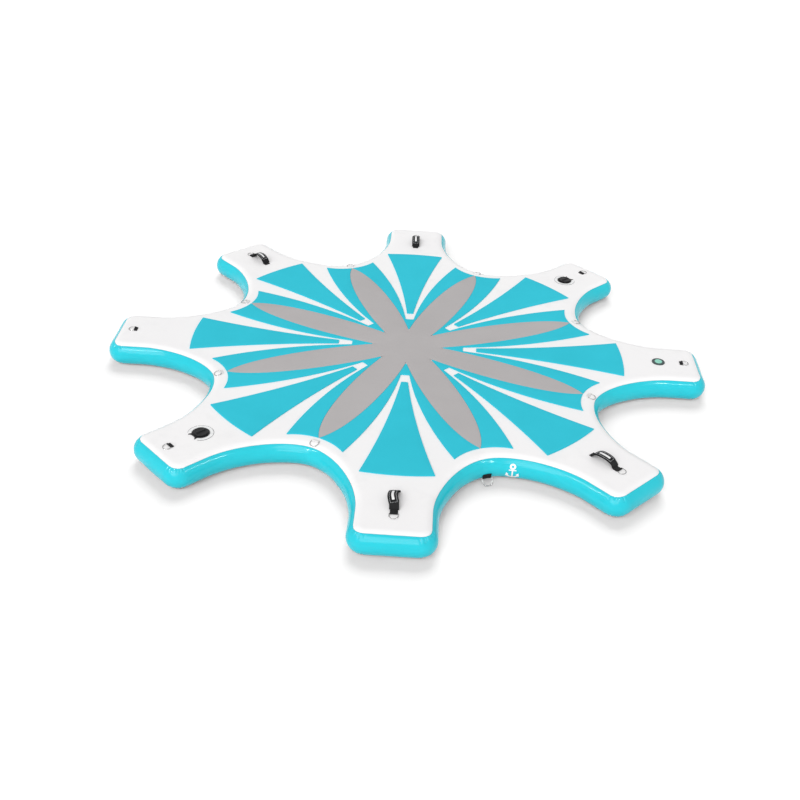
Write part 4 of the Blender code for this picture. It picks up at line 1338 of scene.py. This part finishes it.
def flange_outline():
    outline = arc(FLANGE_RADIUS, LUG_HALF_ANGLE, 2 * pi - LUG_HALF_ANGLE, 84)
    tip_x, tip_y = turned((PRONG_REACH, 0.0), PRONG_ANGLE)
    bite = [(tip_x - BITE_DEPTH * sin(turn), -BITE_HALF_WIDTH * cos(turn)) for turn in spread(0.0, pi, 24)]
    outline += [(tip_x, -tip_y), *bite, (tip_x, tip_y)]
    return dense(rounded(outline, FLANGE_CORNER, 6, radians(16)), FLANGE_POINT_STEP)


def make_valve_body(arm, foot):
    tube = THROAT_RADIUS + THROAT_WALL
    seat_top = -THROAT_DEPTH
    seat_low = seat_top - SEAT
    top = GAP + FLANGE
    body = Solid(foot)
    rows = [(FLANGE_EASE, GAP), (0.0, GAP + FLANGE_EASE), *eased(top, FLANGE_BEVEL, 4)]
    sides = body.stack(flange_outline(), rows)
    mouth = body.turned([(THROAT_RADIUS + FLANGE_BEVEL, top), (THROAT_RADIUS, top - FLANGE_BEVEL),
                         (THROAT_RADIUS, seat_top)], DETAIL_SIDES)
    body.fill(sides[-1], [mouth[0]])
    bores = [circle(GUIDE_BORE, 16)]
    for n in range(VENT_COUNT):
        bores.append(circle(VENT_RADIUS, 16, turned((VENT_CIRCLE, 0.0), 2 * pi * (n + 0.5) / VENT_COUNT)))
    upper, lower = ([body.level(bore, height) for bore in bores] for height in (seat_top, seat_low))
    for low, high in zip(lower, upper):
        body.join(low, high)
    body.fill(mouth[-1], upper)
    skirt = body.turned([(tube, seat_low), (tube, GAP)], DETAIL_SIDES)
    body.fill(skirt[0], lower)
    body.fill(sides[0], [skirt[1]])
    body.make(f"valve_body_{arm}_moulding", "black_nylon", replaces=f"valve_body_{arm}")


def cap_foot(plug, radius, low, depth, eases):
    """The lower half of a cap's profile: its plug, and its rim up from the height low."""
    plug_ease, rim_ease = eases
    return [(plug - plug_ease, low - depth), (plug, low - depth + plug_ease), (plug, low),
            (radius - rim_ease, low), (radius, low + rim_ease)]


def make_valve_cap(arm, foot):
    """The knurled cap with its plug below and a grip bar in the ring-shaped groove on its top."""
    cap = Solid(foot)
    low = 2 * GAP + FLANGE
    high = low + VALVE_CAP
    plug = THROAT_RADIUS - GAP
    radius = VALVE_CAP_RADIUS
    flat = radius - VALVE_CAP_CHAMFER
    profile = cap_foot(plug, radius, low, VALVE_CAP_PLUG, VALVE_CAP_EASES)
    profile[-1] += (KNURL_DEPTH,)
    profile += [(radius, high - VALVE_CAP_CHAMFER - KNURL_TOP, KNURL_DEPTH)]
    profile += [(reach, height, KNURL_DEPTH * (reach - flat) / VALVE_CAP_CHAMFER)
                for reach, height in quarter(radius, high, VALVE_CAP_CHAMFER, 7)]
    profile += [(flat - GROOVE_WALL[0], high), (flat - GROOVE_WALL[1], high - GROOVE)]
    loops = cap.turned(profile, KNURLS * KNURL_SIDES, KNURLS, 2)
    cap.cap(loops[0])
    side = GRIP_WIDTH / 2
    middle = GRIP_LENGTH / 2 - side
    bar = arc(side, -pi / 2, pi / 2, 16, (middle, 0.0)) + arc(side, pi / 2, 3 * pi / 2, 16, (-middle, 0.0))
    rows = [(amount, high + rise) for amount, rise in GRIP_FOOT] + eased(high + GRIP_RISE, GRIP_BEVEL, 5)
    walls = cap.stack(bar, rows)
    cap.cap(walls[-1])
    cap.fill(loops[-1], [walls[0]])
    name = f"valve_cap_{arm}"
    cap.make(name + "_moulding", "black_nylon", body=name, replaces=name)


def make_crescent(name, foot, radii, height, finish):
    ring = Solid(foot)
    inner, outer = radii
    shape = arc(outer, *CRESCENT_ANGLES, 90) + arc(inner, *CRESCENT_ANGLES[::-1], 90)
    shape = rounded(shape, 0.3 * (outer - inner), 5, radians(30))
    loops = ring.stack(shape, ((0.0, GAP / 3), (0.0, height * 0.7), (height * 0.3, height)))
    ring.fill(loops[0])
    ring.fill(loops[-1])
    ring.make(name, finish)


def make_valve(arm):
    foot = on_arm(arm, VALVE_FROM_END)
    make_valve_body(arm, foot)
    make_valve_cap(arm, foot)
    make_crescent(f"valve_crescent_{arm}", foot, CRESCENT_RADII, CRESCENT, "clear_collar")
    make_crescent(f"valve_crescent_rim_{arm}", foot, CRESCENT_RIM_RADII, CRESCENT_RIM, "grey_trim")
    # The stem stays the CAD node's own shape
    node = bpy.data.objects[f"valve_stem_{arm}"]
    node.data.materials.clear()
    node.data.materials.append(FINISHES["black_nylon"][0])


def make_relief_valve():
    foot = on_arm(RELIEF_ARM, RELIEF_FROM_END)
    tube = RELIEF_THROAT_RADIUS + THROAT_WALL
    top = GAP + RELIEF_FLANGE
    well = RELIEF_CAP_RADIUS + GAP
    seat = GAP + RELIEF_SEAT
    edge = RELIEF_FLANGE_RADIUS
    body = Solid(foot)
    profile = [(RELIEF_THROAT_RADIUS, -RELIEF_DEPTH), (tube, -RELIEF_DEPTH), (tube, GAP)]
    profile += [(edge - FLANGE_EASE, GAP), (edge, GAP + FLANGE_EASE)] + quarter(edge, top, RELIEF_CHAMFER, 8)
    # A fine groove runs round the flange's top
    profile += [(edge - back, top - drop) for back, drop in RELIEF_GROOVE]
    profile += [(well + RELIEF_EASE, top), (well, top - RELIEF_EASE), (well, seat), (RELIEF_THROAT_RADIUS, seat)]
    loops = body.turned(profile, 96)
    body.join(loops[-1], loops[0])
    body.make("relief_valve_collar", "dark_moulding", replaces="relief_valve_body")

    cap = Solid(foot)
    low = 2 * GAP + RELIEF_SEAT
    plug = RELIEF_THROAT_RADIUS - GAP
    high = top + RELIEF_CAP_RISE
    radius = RELIEF_CAP_RADIUS
    profile = cap_foot(plug, radius, low, RELIEF_CAP_PLUG, RELIEF_CAP_EASES)
    profile += quarter(radius, high, RELIEF_CAP_RISE, 6)
    profile += [(radius - back, high - drop) for back, drop in RELIEF_DISH]
    profile = [(*row, depth) for row, depth in zip(profile, RELIEF_KNURL_DEPTHS)]
    loops = cap.turned(profile, RELIEF_KNURLS * KNURL_SIDES, RELIEF_KNURLS)
    cap.cap(loops[0])
    arms = [turned(point, 2 * pi * n / RELIEF_ARMS) for n in range(RELIEF_ARMS) for point in RELIEF_ARM_SHAPE]
    arms = dense(rounded(arms, RELIEF_ARM_CORNER, 4), RELIEF_ARM_POINT_STEP)
    ridge = cap.stack(arms, [(amount, high - drop) for amount, drop in RELIEF_RIDGE])
    cap.fill(ridge[-1])
    cap.fill(loops[-1], [ridge[0]])
    cap.make("relief_valve_knob", "mint_moulding", body="relief_valve_cap", replaces="relief_valve_cap")


# Stage


def make_world():
    world = bpy.data.worlds.new("studio")
    bpy.context.scene.world = world
    nodes = Nodes(world)
    background = nodes.tree.nodes["Background"]
    background.inputs["Color"].default_value = (1.0, 1.0, 1.0, 1.0)
    nodes.tree.links.new(nodes.ranged(nodes.seen(), AMBIENT, 1.0), background.inputs["Strength"])


def make_floor():
    """A white floor that keeps the object's soft shadow. Its glow is only for rays that see it."""
    mesh = bpy.data.meshes.new("floor")
    half = FLOOR_SIZE / 2
    corners = [(x * half, y * half, FLOOR_HEIGHT) for x, y in ((-1, -1), (1, -1), (1, 1), (-1, 1))]
    mesh.from_pydata(corners, [], [(0, 1, 2, 3)])
    material = bpy.data.materials.new("floor")
    nodes = Nodes(material)
    nodes.tree.nodes.remove(nodes.tree.nodes["Principled BSDF"])
    diffuse = nodes.add("BsdfDiffuse", {"Color": (FLOOR_GREY,) * 3})
    glow = nodes.add("Emission", {"Strength": nodes.maths("MULTIPLY", nodes.seen(), FLOOR_GLOW)})
    both = nodes.add("AddShader", {0: diffuse.outputs[0], 1: glow.outputs[0]})
    nodes.tree.links.new(both.outputs[0], nodes.tree.nodes["Material Output"].inputs["Surface"])
    mesh.materials.append(material)
    floor = bpy.data.objects.new("floor", mesh)
    bpy.context.scene.collection.objects.link(floor)
    floor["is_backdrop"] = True
    return floor


def around(distance, elevation, turn):
    return Vector((distance * cos(elevation) * cos(turn), distance * cos(elevation) * sin(turn),
                   distance * sin(elevation)))


def make_light(name, kind, energy, place, **settings):
    """A lamp that shines at the middle of the platform's base."""
    data = bpy.data.lights.new(name, kind)
    data.energy = energy
    for setting, value in settings.items():
        setattr(data, setting, value)
    made = bpy.data.objects.new(name, data)
    made.matrix_world = Matrix.Translation(place) @ (-place).to_track_quat("-Z", "Y").to_matrix().to_4x4()
    bpy.context.scene.collection.objects.link(made)
    return made


def make_lights(floor):
    back = around(SUN_DISTANCE, BACK_ELEVATION, pi / 2)
    sun = make_light("back_light", "SUN", BACK_SUN, back, angle=BACK_SOFTNESS)
    sun.visible_glossy = False
    # The back light is a floor light: it draws the shadow and leaves the object's own shading to the others
    lit = bpy.data.collections.new("floor_only")
    lit.objects.link(floor)
    sun.light_linking.receiver_collection = lit
    front = around(SUN_DISTANCE, FRONT_ELEVATION, FRONT_TURN)
    make_light("front_light", "SUN", FRONT_SUN, front, angle=FRONT_SOFTNESS)
    for n, turn in enumerate(STREAK_TURNS):
        place = around(STREAK_DISTANCE, STREAK_ELEVATION, turn)
        strip = make_light(f"streak_{n + 1}", "AREA", STREAK, place, shape="RECTANGLE", size=STREAK_SIZE[0],
                           size_y=STREAK_SIZE[1])
        strip.visible_diffuse = False


def make_camera():
    place = around(DISTANCE, ELEVATION, -pi / 2)
    forward = -place.normalized()
    right = forward.cross(Vector((0, 0, 1))).normalized()
    gaze = (forward * FOCAL - AIM[0] * right + AIM[1] * right.cross(forward)).normalized()
    level = gaze.cross(Vector((0, 0, 1))).normalized()
    top = level.cross(gaze)
    side = cos(ROLL) * level + sin(ROLL) * top
    upward = cos(ROLL) * top - sin(ROLL) * level
    turn = Matrix.Rotation(-HEADING, 3, "Z")
    axes = Matrix((turn @ side, turn @ upward, turn @ -gaze)).transposed()
    data = bpy.data.cameras.new("camera")
    data.sensor_width = SENSOR
    data.lens = FOCAL * SENSOR / PICTURE
    data.clip_end = CLIP_END
    made = bpy.data.objects.new("camera", data)
    made.matrix_world = Matrix.Translation(turn @ place + Vector((0, 0, PAD_HIGH))) @ axes.to_4x4()
    bpy.context.scene.collection.objects.link(made)
    bpy.context.scene.camera = made


def main():
    edge = Edge()
    make_deck(edge)
    make_side_band(edge)
    make_hull(edge)
    make_pads()
    make_tabs(edge)
    for arm in HANDLE_ARMS:
        make_handle(arm)
    make_anchor()
    make_sign(edge)
    for arm in VALVE_ARMS:
        make_valve(arm)
    make_relief_valve()
    make_world()
    make_lights(make_floor())
    make_camera()
    bpy.context.scene.view_settings.view_transform = "Standard"
    boxes = {"cad": CAD_BOX, "visual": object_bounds()}
    {name: [[float(v) for v in corner] for corner in box] for name, box in boxes.items()}


main()
